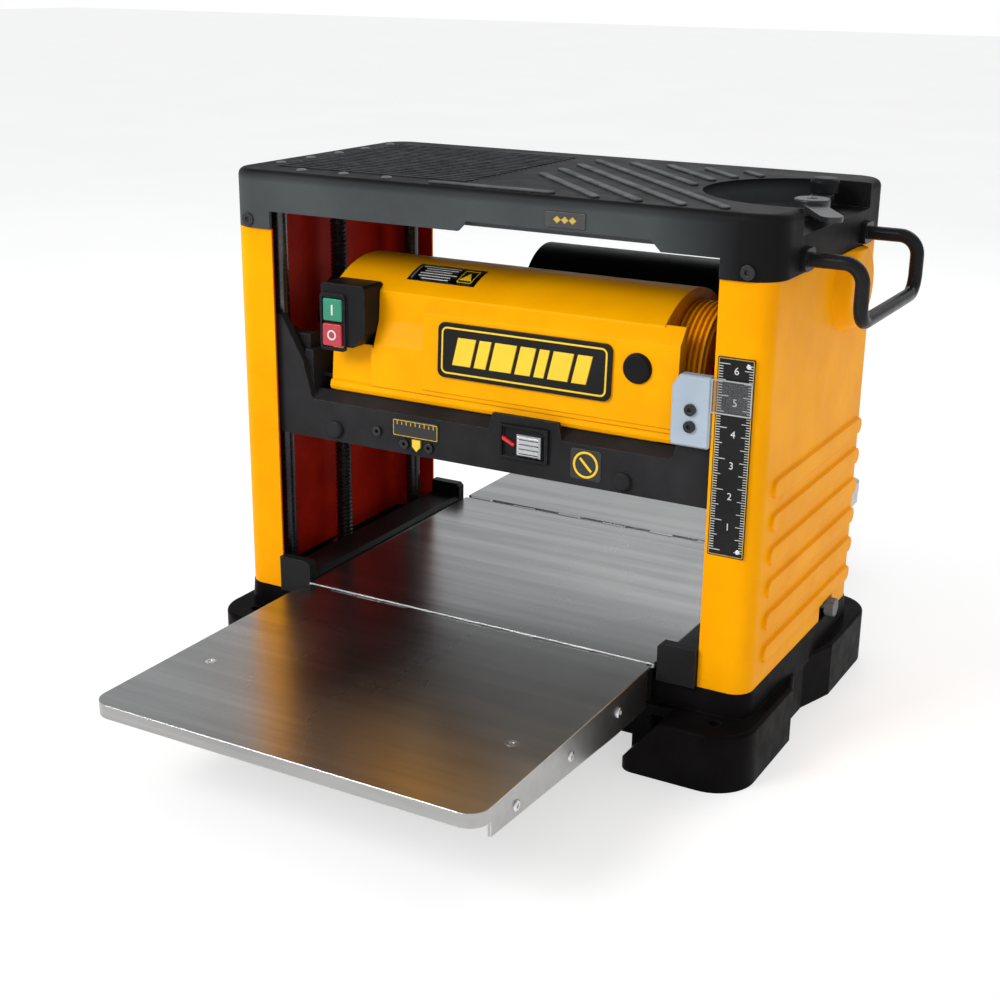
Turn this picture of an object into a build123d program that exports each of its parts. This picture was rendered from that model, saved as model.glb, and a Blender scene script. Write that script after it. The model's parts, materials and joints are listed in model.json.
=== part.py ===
"""Portable thickness planer: a cast base with a steel bed and two folding tables, a cutter
carriage that two leadscrews lift on four posts, two side panels and a moulded top cover.

Frame: origin on the floor at the middle of the footprint, +Z up, +X to the right as seen from
the infeed side, +Y towards the outfeed side.  Millimetres.
"""

import os
from math import cos, radians, sin

from build123d import *

# ---------------------------------------------------------------- driving dimensions
bed_width = 333.0  # across the boards
bed_half_length = 136.5
bed_top = 83.0
bed_thickness = 4.0
table_reach = 410.0  # outer end of each folding table, from the centre
table_sheet = 2.5
lip_height = 11.0
hinge_y = 139.5
hinge_z = 80.3
hinge_pin_radius = 1.4
knuckle_radius = 2.6

cover_width = 488.0
cover_depth = 260.0
cover_top = 440.0
cover_deck = 438.2  # flat deck between the raised bars
cover_skirt_bottom = 390.0
cover_beam_bottom = 405.0
cover_wall = 3.0
corner_face = 44.0  # width of each corner column seen from the front
corner_inner_x = cover_width / 2 - corner_face

panel_bottom = 68.0
panel_width_out = 240.5  # outer face of the side wall
panel_depth_out = 128.0  # outer face of the front and rear flanges
panel_sheet = 2.5
panel_radius = 16.0

foot_top = 48.0
foot_x = 253.0
foot_y = 166.0

post_x = 210.0
post_y = 104.0
post_radius = 7.0
screw_x = 222.0
screw_radius = 8.0
running_gap = 0.05
body_gap = 0.3

carriage_bottom = 213.0  # front and rear walls, at rest
carriage_end_bottom = 218.0
carriage_front = -122.0
carriage_half_width = 226.0
wall = 8.0
end_wall_inner = 170.0
end_wall_outer = 178.0

cutter_z = 236.0
cutter_radius = 24.0
knife_radius = 25.0
cutter_shaft_radius = 8.0
roller_y = 62.0
roller_z = 229.0
roller_radius = 19.0
roller_shaft_radius = 6.0

motor_y = -38.0
motor_z = 308.0
motor_radius = 42.0
motor_shaft_radius = 5.0
cutter_pulley_radius = 16.0
motor_pulley_radius = 10.0
pulley_x = -192.0
pulley_width = 12.0

top_plate_z = 408.0
top_plate_thickness = 4.0
sprocket_z = 394.0
sprocket_radius = 14.0
crank_recess_radius = 84.0
crank_floor = 418.0

os.makedirs("parts", exist_ok=True)


def save(part, name):
    """Label a finished piece and write it as its own STEP file."""
    part.label = name
    export_step(part, f"parts/{name}.step")


# ---------------------------------------------------------------- base casting
plinth_x = 243.0
plinth_y = 130.0
pocket_pitch_x = 76.0
pocket_pitch_y = 70.0
pocket_web = 6.0
bolt_x = 222.0
bolt_y = 142.0
bolt_radius = 4.5

with BuildPart() as base_casting:
    with BuildSketch() as foot_outline:
        with BuildLine():
            Polyline(
                (0, -105),
                (150, -105),
                (152, -foot_y),
                (foot_x, -foot_y),
                (foot_x, -50),
                (241, -12),
                (241, 0),
                (0, 0),
                close=True,
            )
        make_face()
        fillet(foot_outline.vertices().sort_by(lambda v: v.X - v.Y)[-1], radius=34)
        fillet(foot_outline.vertices().sort_by(lambda v: abs(v.X - 152) + abs(v.Y + foot_y))[0], radius=12)
        mirror(about=Plane.YZ)
        mirror(about=Plane.XZ)
    extrude(amount=foot_top)
    rim = base_casting.faces().sort_by(Axis.Z)[-1].edges()
    fillet(rim.filter_by(lambda e: e.length > 20), radius=3)
    with BuildSketch(Plane.XZ.offset(foot_y)) as inner_bevel:
        with BuildLine():
            Polyline((149, 4), (186, foot_top + 1), (149, foot_top + 1), close=True)
        make_face()
        mirror(about=Plane.YZ)
    extrude(amount=-foot_y + plinth_y + 8, mode=Mode.SUBTRACT)
    mirror_bevel = inner_bevel.sketch.moved(Location((0, 2 * foot_y, 0)))
    extrude(mirror_bevel, amount=foot_y - plinth_y - 8, mode=Mode.SUBTRACT)
    with BuildSketch(Plane.XY.offset(foot_top - 6)):
        RectangleRounded(2 * plinth_x, 2 * plinth_y, 18)
    extrude(amount=panel_bottom - foot_top + 6, taper=4)
    with BuildSketch(Plane.XY.offset(foot_top - 6)):
        Rectangle(bed_width - 5, 2 * bed_half_length - 4)
    extrude(amount=bed_top - bed_thickness - foot_top + 6)
    with BuildSketch(Plane.XY):
        with GridLocations(pocket_pitch_x, pocket_pitch_y, 6, 3):
            Rectangle(pocket_pitch_x - pocket_web, pocket_pitch_y - pocket_web)
    extrude(amount=60, mode=Mode.SUBTRACT)
    with BuildSketch(Plane.XY.offset(58)):
        with GridLocations(pocket_pitch_x, pocket_pitch_y, 4, 3):
            Rectangle(pocket_pitch_x - pocket_web, pocket_pitch_y - pocket_web)
    extrude(amount=14, mode=Mode.SUBTRACT)
    with BuildSketch(Plane.XY):
        with GridLocations(2 * 205, 2 * 134, 2, 2):
            RectangleRounded(76, 44, 8)
    extrude(amount=40, mode=Mode.SUBTRACT)
    with Locations((0, 0, foot_top)):
        with GridLocations(2 * bolt_x, 2 * bolt_y, 2, 2):
            Hole(radius=bolt_radius, depth=12)
    with Locations((0, 0, panel_bottom)):
        with GridLocations(2 * post_x, 2 * post_y, 2, 2):
            Hole(radius=post_radius, depth=8)
        with GridLocations(2 * screw_x, 0, 2, 1):
            Hole(radius=12, depth=8)
save(base_casting.part, "base_casting")

# ---------------------------------------------------------------- bed and its guides
with BuildPart() as bed_plate:
    with BuildSketch(Plane.XY.offset(bed_top - bed_thickness)):
        RectangleRounded(bed_width, 2 * bed_half_length, 2)
    extrude(amount=bed_thickness)
    chamfer(bed_plate.faces().sort_by(Axis.Z)[-1].edges(), length=0.6)
save(bed_plate.part, "bed_plate")

guide_inner = bed_width / 2 + 0.8
guide_outer = corner_inner_x - 0.5
guide_middle = (guide_inner + guide_outer) / 2
guide_width = guide_outer - guide_inner
with BuildPart() as bed_guide:
    with BuildSketch(Plane.XY.offset(panel_bottom)):
        with Locations((guide_middle, 0)):
            Rectangle(guide_width, 2 * 124)
    extrude(amount=bed_top + 4 - panel_bottom)
    for end in (-1, 1):
        with BuildSketch(Plane.XY.offset(panel_bottom)):
            with Locations((guide_middle, end * 128.5)):
                Rectangle(guide_width, 9)
        extrude(amount=bed_top + 17 - panel_bottom)
    tall_edges = bed_guide.edges().filter_by(Axis.Y).filter_by(lambda e: e.center().Z > bed_top)
    chamfer(tall_edges.filter_by(lambda e: e.center().X < guide_middle), length=3)
    mirror(about=Plane.YZ)
save(bed_guide.part, "bed_guides")

# ---------------------------------------------------------------- folding tables
knuckle_length = 24.0
knuckle_pitch = 50.0
fixed_knuckles = [-100.0, 0.0, 100.0]
table_knuckles = [-150.0, -50.0, 50.0, 150.0]
flange_drop_hinge = 33.0
flange_drop_tip = 22.0


def folding_table(side):
    """Sheet-steel table on one side (-1 infeed, +1 outfeed), with folded flanges and knuckles."""
    near = side * (hinge_y + knuckle_radius + 0.6)
    far = side * table_reach
    with BuildPart() as table:
        with BuildSketch(Plane.XY.offset(bed_top - table_sheet)) as top:
            with Locations((0, (near + far) / 2)):
                Rectangle(bed_width, abs(far - near))
            fillet(top.vertices().filter_by(lambda v: abs(v.Y) > table_reach - 1), radius=16)
        extrude(amount=table_sheet)
        with BuildSketch(Plane.YZ.offset(bed_width / 2 - table_sheet)) as cheek:
            with BuildLine():
                Polyline(
                    (near + side * 6, bed_top - 1),
                    (far - side * 16, bed_top - 1),
                    (far - side * 16, bed_top - flange_drop_tip),
                    (near + side * 60, bed_top - flange_drop_hinge),
                    (near + side * 6, bed_top - flange_drop_hinge),
                    close=True,
                )
            make_face()
        extrude(amount=table_sheet)
        mirror(about=Plane.YZ)
        for inset, start, mode in ((0, near + side * 6, Mode.ADD), (table_sheet, near, Mode.SUBTRACT)):
            stop = far - side * inset
            with BuildSketch(Plane.XY.offset(bed_top - lip_height)) as rim:
                with Locations((0, (start + stop) / 2)):
                    Rectangle(bed_width - 2 * inset, abs(stop - start))
                fillet(rim.vertices().filter_by(lambda v: abs(v.Y) > table_reach - 4), radius=16 - inset)
            extrude(amount=lip_height - table_sheet, mode=mode)
        with Locations((0, side * (hinge_y + 170), bed_top)):
            with GridLocations(270, 0, 2, 1):
                CounterSinkHole(radius=2.6, counter_sink_radius=4.6, depth=table_sheet)
        with BuildSketch(Plane.YZ.offset(-bed_width / 2)):
            with Locations(*[(side * y, bed_top - 15) for y in (200, 280, 360)]):
                Circle(2.6)
        extrude(amount=bed_width, mode=Mode.SUBTRACT)
        for x in table_knuckles:
            with BuildSketch(Plane.YZ.offset(x - knuckle_length / 2)):
                with Locations((side * hinge_y, hinge_z)):
                    Circle(knuckle_radius)
                with Locations((side * (hinge_y + 3.2), bed_top - table_sheet / 2)):
                    Rectangle(6.4, table_sheet - 0.2)
            extrude(amount=knuckle_length)
        with BuildSketch(Plane.YZ.offset(-bed_width / 2)):
            with Locations((side * hinge_y, hinge_z)):
                Circle(hinge_pin_radius + running_gap)
        extrude(amount=bed_width, mode=Mode.SUBTRACT)
    return table.part


for side, name in ((-1, "infeed"), (1, "outfeed")):
    save(folding_table(side), f"{name}_table")

with BuildPart() as hinge_leaves:
    with BuildSketch(Plane.YZ.offset(-bed_width / 2 + 8)):
        with Locations((-bed_half_length + 1.2, bed_top - bed_thickness - 9)):
            Rectangle(1.6, 17)
    extrude(amount=bed_width - 16)
    for x in fixed_knuckles:
        with BuildSketch(Plane.YZ.offset(x - knuckle_length / 2)):
            with Locations((-hinge_y, hinge_z)):
                Circle(knuckle_radius)
            with Locations((-hinge_y + 2.2, bed_top - bed_thickness - 1.4)):
                Rectangle(4.4, 1.6)
        extrude(amount=knuckle_length)
    with BuildSketch(Plane.YZ.offset(-bed_width / 2)):
        with Locations((-hinge_y, hinge_z)):
            Circle(hinge_pin_radius)
    extrude(amount=bed_width, mode=Mode.SUBTRACT)
    mirror(about=Plane.XZ)
save(hinge_leaves.part, "hinge_leaves")

with BuildPart() as hinge_pins:
    with BuildSketch(Plane.YZ.offset(-bed_width / 2 + 2)):
        with Locations((-hinge_y, hinge_z), (hinge_y, hinge_z)):
            Circle(hinge_pin_radius)
    extrude(amount=bed_width - 4)
save(hinge_pins.part, "hinge_pins")

# ---------------------------------------------------------------- side panels
rib_pitch = 27.3
rib_lowest = 92.0
rib_count = 6
rib_height = 15.0
rib_proud = 2.6
dome_y = 50.0
dome_z = 360.0
dome_radius = 38.0
dome_proud = 12.0
notch_y = 62.0

with BuildPart() as side_panel:
    with BuildSketch(Plane.XY.offset(panel_bottom)):
        RectangleRounded(2 * panel_width_out, 2 * panel_depth_out, panel_radius)
        RectangleRounded(
            2 * (panel_width_out - panel_sheet),
            2 * (panel_depth_out - panel_sheet),
            panel_radius - panel_sheet,
            mode=Mode.SUBTRACT,
        )
        with Locations((corner_inner_x, 0)):
            Rectangle(100, 300, align=(Align.MIN, Align.CENTER), mode=Mode.INTERSECT)
    extrude(amount=cover_skirt_bottom - panel_bottom)
    with BuildSketch(Plane.YZ.offset(panel_width_out)):
        with Locations(*[(8, rib_lowest + rib_pitch * i) for i in range(rib_count)]):
            SlotOverall(216, rib_height)
    extrude(amount=rib_proud, taper=20)
    with BuildSketch(Plane.YZ.offset(panel_width_out)):
        with Locations((dome_y, dome_z)):
            Circle(dome_radius)
    extrude(amount=dome_proud, taper=28)
    fillet(side_panel.faces().sort_by(Axis.X)[-1].edges(), radius=5)
    with BuildSketch(Plane.XY.offset(cover_skirt_bottom)):
        Rectangle(600, 300)
    extrude(amount=20, mode=Mode.SUBTRACT)
save(mirror(side_panel.part, about=Plane.YZ), "left_side_panel")

with BuildPart() as right_side_panel:
    add(side_panel.part)
    with BuildSketch(Plane.YZ.offset(panel_width_out - 6)):
        with Locations((notch_y, panel_bottom + 8)):
            Rectangle(34, 20)
    extrude(amount=12, mode=Mode.SUBTRACT)
save(right_side_panel.part, "right_side_panel")

# ---------------------------------------------------------------- posts and top plate
with BuildPart() as guide_posts:
    with BuildSketch(Plane.XY.offset(panel_bottom - 8)):
        with GridLocations(2 * post_x, 2 * post_y, 2, 2):
            Circle(post_radius)
    extrude(amount=top_plate_z - panel_bottom + 8)
    with BuildSketch(Plane.XY.offset(top_plate_z - 12)):
        with GridLocations(2 * post_x, 2 * post_y, 2, 2):
            Circle(3)
    extrude(amount=12, mode=Mode.SUBTRACT)
save(guide_posts.part, "guide_posts")

with BuildPart() as top_plate:
    with BuildSketch(Plane.XY.offset(top_plate_z)):
        RectangleRounded(476, 236, 16)
        Rectangle(360, 150, mode=Mode.SUBTRACT)
        with GridLocations(2 * post_x, 2 * post_y, 2, 2):
            Circle(3, mode=Mode.SUBTRACT)
        with GridLocations(2 * screw_x, 0, 2, 1):
            Circle(11.5, mode=Mode.SUBTRACT)
    extrude(amount=top_plate_thickness)
save(top_plate.part, "top_plate")

with BuildPart() as post_bolts:
    with BuildSketch(Plane.XY.offset(top_plate_z - 12)):
        with GridLocations(2 * post_x, 2 * post_y, 2, 2):
            Circle(3)
    extrude(amount=12 + top_plate_thickness)
    with BuildSketch(Plane.XY.offset(top_plate_z + top_plate_thickness)):
        with GridLocations(2 * post_x, 2 * post_y, 2, 2):
            RegularPolygon(6, 6)
    extrude(amount=4)
save(post_bolts.part, "post_bolts")

bearing_bottom = panel_bottom - 8
with BuildPart() as screw_bearings:
    for z, height in ((bearing_bottom, 8), (top_plate_z, top_plate_thickness)):
        with BuildSketch(Plane.XY.offset(z)):
            with GridLocations(2 * screw_x, 0, 2, 1):
                Circle(12 if z == bearing_bottom else 11.5)
                Circle(screw_radius + running_gap, mode=Mode.SUBTRACT)
        extrude(amount=height)
save(screw_bearings.part, "screw_bearings")

# ---------------------------------------------------------------- top cover
bar_pitch = 35.0
bar_first = -24.0
bar_width = 8.0
bar_front = -118.0
bar_rear = 84.0
ridge_pitch = 9.0
ridge_count = 22

with BuildPart() as top_cover:
    with BuildSketch(Plane.XY.offset(cover_skirt_bottom)):
        RectangleRounded(cover_width, cover_depth, 26)
    extrude(amount=cover_deck - cover_skirt_bottom)
    fillet(top_cover.faces().sort_by(Axis.Z)[-1].edges(), radius=6)
    with BuildSketch(Plane.XY.offset(cover_skirt_bottom)):
        Rectangle(2 * corner_inner_x, cover_depth)
    extrude(amount=cover_beam_bottom - cover_skirt_bottom, mode=Mode.SUBTRACT)
    with BuildSketch(Plane.XZ.offset(cover_depth / 2)):
        with Locations((68, cover_beam_bottom)):
            Trapezoid(172, 8, 45, align=(Align.CENTER, Align.MIN))
    extrude(amount=-8, mode=Mode.SUBTRACT)
    with BuildSketch(Plane.XY.offset(cover_skirt_bottom)):
        RectangleRounded(cover_width - 2 * cover_wall, cover_depth - 2 * cover_wall, 23)
    extrude(amount=cover_deck - cover_skirt_bottom - cover_wall, mode=Mode.SUBTRACT)
    with BuildSketch(Plane.XY.offset(crank_floor - cover_wall)) as bowl:
        with Locations((screw_x, 0)):
            Circle(crank_recess_radius + cover_wall)
        Rectangle(cover_width, cover_depth, mode=Mode.INTERSECT)
    extrude(amount=cover_deck - crank_floor + cover_wall)
    with BuildSketch(Plane.XY.offset(crank_floor)):
        with Locations((screw_x, 0)):
            Circle(crank_recess_radius)
    extrude(amount=40, mode=Mode.SUBTRACT)
    with BuildSketch(Plane.XY.offset(crank_floor - cover_wall)):
        with Locations((screw_x, 0)):
            Circle(screw_radius + 3)
    extrude(amount=cover_wall, mode=Mode.SUBTRACT)
    with BuildSketch(Plane.XY.offset(cover_deck)):
        for i in range(8):
            reach = bar_first + bar_pitch * i
            start = Vector(max(0, reach - bar_rear), min(reach, bar_rear))
            stop = Vector(reach - bar_front, bar_front)
            run = Vector(1, -1).normalized()
            for step in range(int((stop - start).length)):
                point = start + run * step
                if (point - Vector(screw_x, 0)).length < crank_recess_radius + 10 or point.X > 196:
                    stop = point
                    break
            if (stop - start).length > 20:
                with Locations((start + stop) / 2):
                    SlotCenterToCenter((stop - start).length, bar_width, rotation=-45)
        with Locations((4, -117)):
            SlotOverall(112, 9)
    extrude(amount=cover_top - cover_deck, taper=25)
    with BuildSketch(Plane.XY.offset(cover_deck)):
        for i in range(ridge_count):
            with Locations((-122, -96 + ridge_pitch * i)):
                SlotOverall(186, 3)
    extrude(amount=0.9)
    for x in (-screw_x, screw_x):
        with BuildSketch(Plane.XZ.offset(cover_depth / 2)):
            with Locations((x, cover_skirt_bottom + 7)):
                Circle(3)
        extrude(amount=-cover_depth, mode=Mode.SUBTRACT)
save(top_cover.part, "top_cover")

with BuildPart() as cover_screws:
    for end in (-1, 1):
        for x in (-screw_x, screw_x):
            with BuildSketch(Plane.XZ.offset(-end * (cover_depth / 2 - cover_wall))):
                with Locations((x, cover_skirt_bottom + 7)):
                    Circle(3)
            extrude(amount=-end * cover_wall)
            with BuildSketch(Plane.XZ.offset(-end * cover_depth / 2)):
                with Locations((x, cover_skirt_bottom + 7)):
                    Circle(5.4)
                    RegularPolygon(2.6, 6, mode=Mode.SUBTRACT)
            extrude(amount=-end * 1.6)
save(cover_screws.part, "cover_screws")

# ---------------------------------------------------------------- carry handles
handle_rod = 5.5
handle_x = 288.0
handle_y = 72.0
handle_high = 400.0
handle_low = 356.0
left_handle_front = -42.0
left_handle_rear = 102.0


def carry_handle(front, rear):
    """Bent rod handle for the crank side, its two legs at the given depths."""
    with BuildPart() as handle:
        with BuildLine() as grip_path:
            FilletPolyline(
                (cover_width / 2, front, handle_high),
                (handle_x, front, handle_high),
                (handle_x, front, handle_low),
                (handle_x, rear, handle_low),
                (handle_x, rear, handle_high),
                (cover_width / 2, rear, handle_high),
                radius=15,
            )
        with BuildSketch(Plane.YZ.offset(cover_width / 2)):
            with Locations((front, handle_high)):
                Circle(handle_rod)
        sweep(path=grip_path.wires()[0])
        for y in (front, rear):
            with BuildSketch(Plane.YZ.offset(cover_width / 2)):
                with Locations((y, handle_high)):
                    RectangleRounded(22, 17, 5)
            extrude(amount=4)
    return handle.part


save(carry_handle(-handle_y, handle_y), "right_carry_handle")
save(mirror(carry_handle(left_handle_front, left_handle_rear), about=Plane.YZ), "left_carry_handle")

# ---------------------------------------------------------------- height scale
with BuildPart() as height_scale:
    with BuildSketch(Plane.XZ.offset(panel_depth_out)):
        with Locations((217, 257)):
            RectangleRounded(29, 154, 1)
    extrude(amount=0.5)
save(height_scale.part, "height_scale")

# ---------------------------------------------------------------- lifting screws, chain, crank
crank_hub_z = crank_floor + 4
crank_reach = 64.0
knob_height = 8.0


def leadscrew(x, top):
    """Threaded spindle at its outer diameter, carrying its ten-tooth chain wheel."""
    with BuildPart() as screw:
        with BuildSketch(Plane.XY.offset(bearing_bottom + 1)):
            with Locations((x, 0)):
                Circle(screw_radius)
        extrude(amount=top - bearing_bottom - 1)
        chamfer(screw.faces().sort_by(Axis.Z)[-1].edges(), length=1)
        with BuildSketch(Plane.XY.offset(sprocket_z)):
            with Locations((x, 0)):
                Circle(sprocket_radius)
                with PolarLocations(sprocket_radius + 0.6, 10):
                    Circle(2, mode=Mode.SUBTRACT)
        extrude(amount=5)
    return screw.part


save(leadscrew(-screw_x, top_plate_z + top_plate_thickness), "left_leadscrew")
save(leadscrew(screw_x, crank_hub_z), "right_leadscrew")

with BuildPart() as lift_chain:
    for radius, mode in ((sprocket_radius + 2.8, Mode.ADD), (sprocket_radius + 0.4, Mode.SUBTRACT)):
        with BuildSketch(Plane.XY.offset(sprocket_z + 0.5)):
            with GridLocations(2 * screw_x, 0, 2, 1):
                Circle(radius)
            make_hull()
        extrude(amount=4, mode=mode)
save(lift_chain.part, "lift_chain")

knob_angle = 100.0
grip_angle = -58.0
knob_x = screw_x + crank_reach * cos(radians(knob_angle))
knob_y = crank_reach * sin(radians(knob_angle))

with BuildPart() as crank_arm:
    with BuildSketch(Plane.XY.offset(crank_hub_z)):
        with Locations((screw_x, 0)):
            Circle(14)
            RegularPolygon(4, 6, mode=Mode.SUBTRACT)
    extrude(amount=12)
    for angle in (knob_angle, grip_angle):
        middle = (screw_x + 37 * cos(radians(angle)), 37 * sin(radians(angle)))
        with BuildSketch(Plane.XY.offset(crank_hub_z + 4)):
            with Locations(middle):
                SlotOverall(crank_reach + 4, 17, rotation=angle)
            with Locations((screw_x, 0)):
                Circle(10, mode=Mode.SUBTRACT)
        extrude(amount=4)
    fillet(crank_arm.faces().sort_by(Axis.Z)[-1].edges(), radius=1.5)
    with BuildSketch(Plane.XY.offset(crank_hub_z + 4)):
        with Locations((knob_x, knob_y)):
            Circle(3.5)
    extrude(amount=knob_height + 2)
save(crank_arm.part, "crank_arm")

with BuildPart() as crank_knob:
    with BuildSketch(Plane.XY.offset(crank_hub_z + 8 + body_gap)):
        with Locations((knob_x, knob_y)):
            Circle(11)
    extrude(amount=knob_height + 4, taper=-6)
    fillet(crank_knob.faces().sort_by(Axis.Z)[-1].edges(), radius=4)
    with BuildSketch(Plane.XY.offset(crank_hub_z)):
        with Locations((knob_x, knob_y)):
            Circle(3.5 + running_gap)
    extrude(amount=knob_height + 6.5, mode=Mode.SUBTRACT)
save(crank_knob.part, "crank_knob")

# ---------------------------------------------------------------- depth-stop turret
turret_z = 77.0
with BuildPart() as turret_stop:
    with BuildSketch(Plane.YZ.offset(234)):
        with Locations((notch_y, turret_z)):
            Circle(3)
    extrude(amount=8)
    with BuildSketch(Plane.YZ.offset(panel_width_out + 1)):
        with Locations((notch_y, turret_z)):
            Circle(8)
            with PolarLocations(9.4, 8):
                Circle(2.2, mode=Mode.SUBTRACT)
    extrude(amount=8)
    with BuildSketch(Plane.YZ.offset(217)):
        with Locations((notch_y, turret_z)):
            Circle(3)
    extrude(amount=10)
    with BuildSketch(Plane.YZ.offset(226)):
        with Locations((notch_y, turret_z)):
            Circle(5)
    extrude(amount=8)
    for i in range(6):
        angle = radians(60 * i)
        reach = 3.2 + 0.6 * i
        with BuildSketch(Plane.YZ.offset(227)):
            with Locations((notch_y + reach * cos(angle), turret_z + reach * sin(angle))):
                Circle(2)
        extrude(amount=6)
save(turret_stop.part, "turret_stop")

with BuildPart() as turret_bracket:
    with BuildSketch(Plane.YZ.offset(217)):
        with Locations((notch_y, (panel_bottom + turret_z + 7) / 2)):
            Rectangle(16, turret_z + 7 - panel_bottom)
        with Locations((notch_y, turret_z)):
            Circle(3 + running_gap, mode=Mode.SUBTRACT)
    extrude(amount=8.6)
save(turret_bracket.part, "turret_bracket")

# ---------------------------------------------------------------- cutter carriage
upright_top = 317.0
bush_radius = 10.0
boss_bottom = carriage_end_bottom
nut_radius = 11.0
nut_web_bottom = 214.5

with BuildPart() as carriage_casting:
    with BuildSketch(Plane.YZ.offset(-end_wall_inner)):
        with BuildLine():
            Polyline(
                (carriage_front, carriage_bottom),
                (carriage_front, 247),
                (-109, 254),
                (-109, 248),
                (-114, 246),
                (-114, carriage_bottom),
                close=True,
            )
        make_face()
    extrude(amount=2 * end_wall_inner)
    with BuildSketch(Plane.XZ.offset(-carriage_front)) as front_end:
        with BuildLine():
            Polyline(
                (end_wall_inner - 6, carriage_bottom),
                (carriage_half_width - 20, carriage_bottom),
                (carriage_half_width, carriage_bottom + 14),
                (carriage_half_width, upright_top),
                (197, upright_top),
                (176, 280),
                (168, 250),
                (end_wall_inner - 6, 246),
                close=True,
            )
        make_face()
        mirror(about=Plane.YZ)
    extrude(amount=-wall)
    with BuildSketch(Plane.XZ.offset(-carriage_front)):
        with Locations((40, 249)):
            Trapezoid(72, 24, 75)
    extrude(amount=-4)
    with BuildSketch(Plane.XZ.offset(carriage_front + wall)):
        with Locations((0, (carriage_bottom + 262) / 2)):
            Rectangle(2 * carriage_half_width, 262 - carriage_bottom)
    extrude(amount=-wall)
    for x in (-end_wall_outer, end_wall_inner):
        with BuildSketch(Plane.YZ.offset(x)):
            with Locations((0, (carriage_end_bottom + 288) / 2)):
                Rectangle(2 * 115, 288 - carriage_end_bottom)
        extrude(amount=end_wall_outer - end_wall_inner)
    with BuildSketch(Plane.XY.offset(262.4)):
        with Locations((0, 7)):
            Rectangle(2 * end_wall_inner, 214)
    extrude(amount=3)
    with BuildSketch(Plane.XY.offset(boss_bottom)):
        with GridLocations(2 * post_x, 2 * post_y, 2, 2):
            Circle(13.5)
        with GridLocations(2 * 191, 2 * post_y, 2, 2):
            Rectangle(30, 12)
    extrude(amount=upright_top - 17 - boss_bottom)
    with BuildSketch(Plane.XY.offset(nut_web_bottom)):
        with GridLocations(2 * 192, 0, 2, 1):
            Rectangle(44, 26)
    extrude(amount=2.5)
    with BuildSketch(Plane.XY.offset(nut_web_bottom)):
        with GridLocations(2 * 174, 0, 2, 1):
            Rectangle(8, 26)
    extrude(amount=6)
    with BuildSketch(Plane.XY.offset(nut_web_bottom)):
        with GridLocations(2 * screw_x, 0, 2, 1):
            Circle(14)
    extrude(amount=34)
    with BuildSketch(Plane.XY.offset(nut_web_bottom)):
        with GridLocations(2 * post_x, 2 * post_y, 2, 2):
            Circle(bush_radius)
        with GridLocations(2 * screw_x, 0, 2, 1):
            Circle(nut_radius)
    extrude(amount=120, mode=Mode.SUBTRACT)
    with BuildSketch(Plane.YZ.offset(-end_wall_outer)):
        with Locations((0, cutter_z)):
            Circle(17)
        with Locations((-roller_y, roller_z), (roller_y, roller_z)):
            Circle(9)
    extrude(amount=2 * end_wall_outer, mode=Mode.SUBTRACT)
    with BuildSketch(Plane.XZ.offset(-carriage_front)):
        with Locations((-143, 224), (127, 223)):
            Circle(8)
    extrude(amount=4)
    fillet(carriage_casting.faces().sort_by(Axis.Y)[:2].edges().filter_by(GeomType.CIRCLE), radius=3)
    with BuildSketch(Plane.XZ.offset(-carriage_front)):
        with Locations((40, 240)):
            Rectangle(44, 28)
    extrude(amount=-3, mode=Mode.SUBTRACT)
save(carriage_casting.part, "carriage_casting")

with BuildPart() as carriage_bushes:
    with BuildSketch(Plane.XY.offset(carriage_end_bottom + 1)):
        with GridLocations(2 * post_x, 2 * post_y, 2, 2):
            Circle(bush_radius)
            Circle(post_radius + running_gap, mode=Mode.SUBTRACT)
    extrude(amount=78)
save(carriage_bushes.part, "carriage_bushes")

with BuildPart() as lift_nuts:
    with BuildSketch(Plane.XY.offset(carriage_end_bottom + 1)):
        with GridLocations(2 * screw_x, 0, 2, 1):
            Circle(nut_radius)
            Circle(screw_radius + running_gap, mode=Mode.SUBTRACT)
    extrude(amount=32)
save(lift_nuts.part, "lift_nuts")

with BuildPart() as cutterhead_bearings:
    for x in (-end_wall_outer, end_wall_inner):
        with BuildSketch(Plane.YZ.offset(x)):
            with Locations((0, cutter_z)):
                Circle(17)
                Circle(cutter_shaft_radius + running_gap, mode=Mode.SUBTRACT)
        extrude(amount=end_wall_outer - end_wall_inner)
save(cutterhead_bearings.part, "cutterhead_bearings")

with BuildPart() as roller_bushes:
    for x in (-end_wall_outer, end_wall_inner):
        with BuildSketch(Plane.YZ.offset(x)):
            with Locations((-roller_y, roller_z), (roller_y, roller_z)):
                Circle(9)
                Circle(roller_shaft_radius + running_gap, mode=Mode.SUBTRACT)
        extrude(amount=end_wall_outer - end_wall_inner)
save(roller_bushes.part, "roller_bushes")

# ---------------------------------------------------------------- cutterhead and rollers
knife_count = 3
knife_length = 317.0
with BuildPart() as cutterhead:
    with BuildSketch(Plane.YZ.offset(-knife_length / 2)):
        with Locations((0, cutter_z)):
            Circle(cutter_radius)
            with PolarLocations(cutter_radius - 4, knife_count, start_angle=90):
                Rectangle(10, 3.2, mode=Mode.SUBTRACT)
    extrude(amount=knife_length)
    with BuildSketch(Plane.YZ.offset(pulley_x - 1)):
        with Locations((0, cutter_z)):
            Circle(cutter_shaft_radius)
    extrude(amount=180 - pulley_x + 1)
save(cutterhead.part, "cutterhead")

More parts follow.
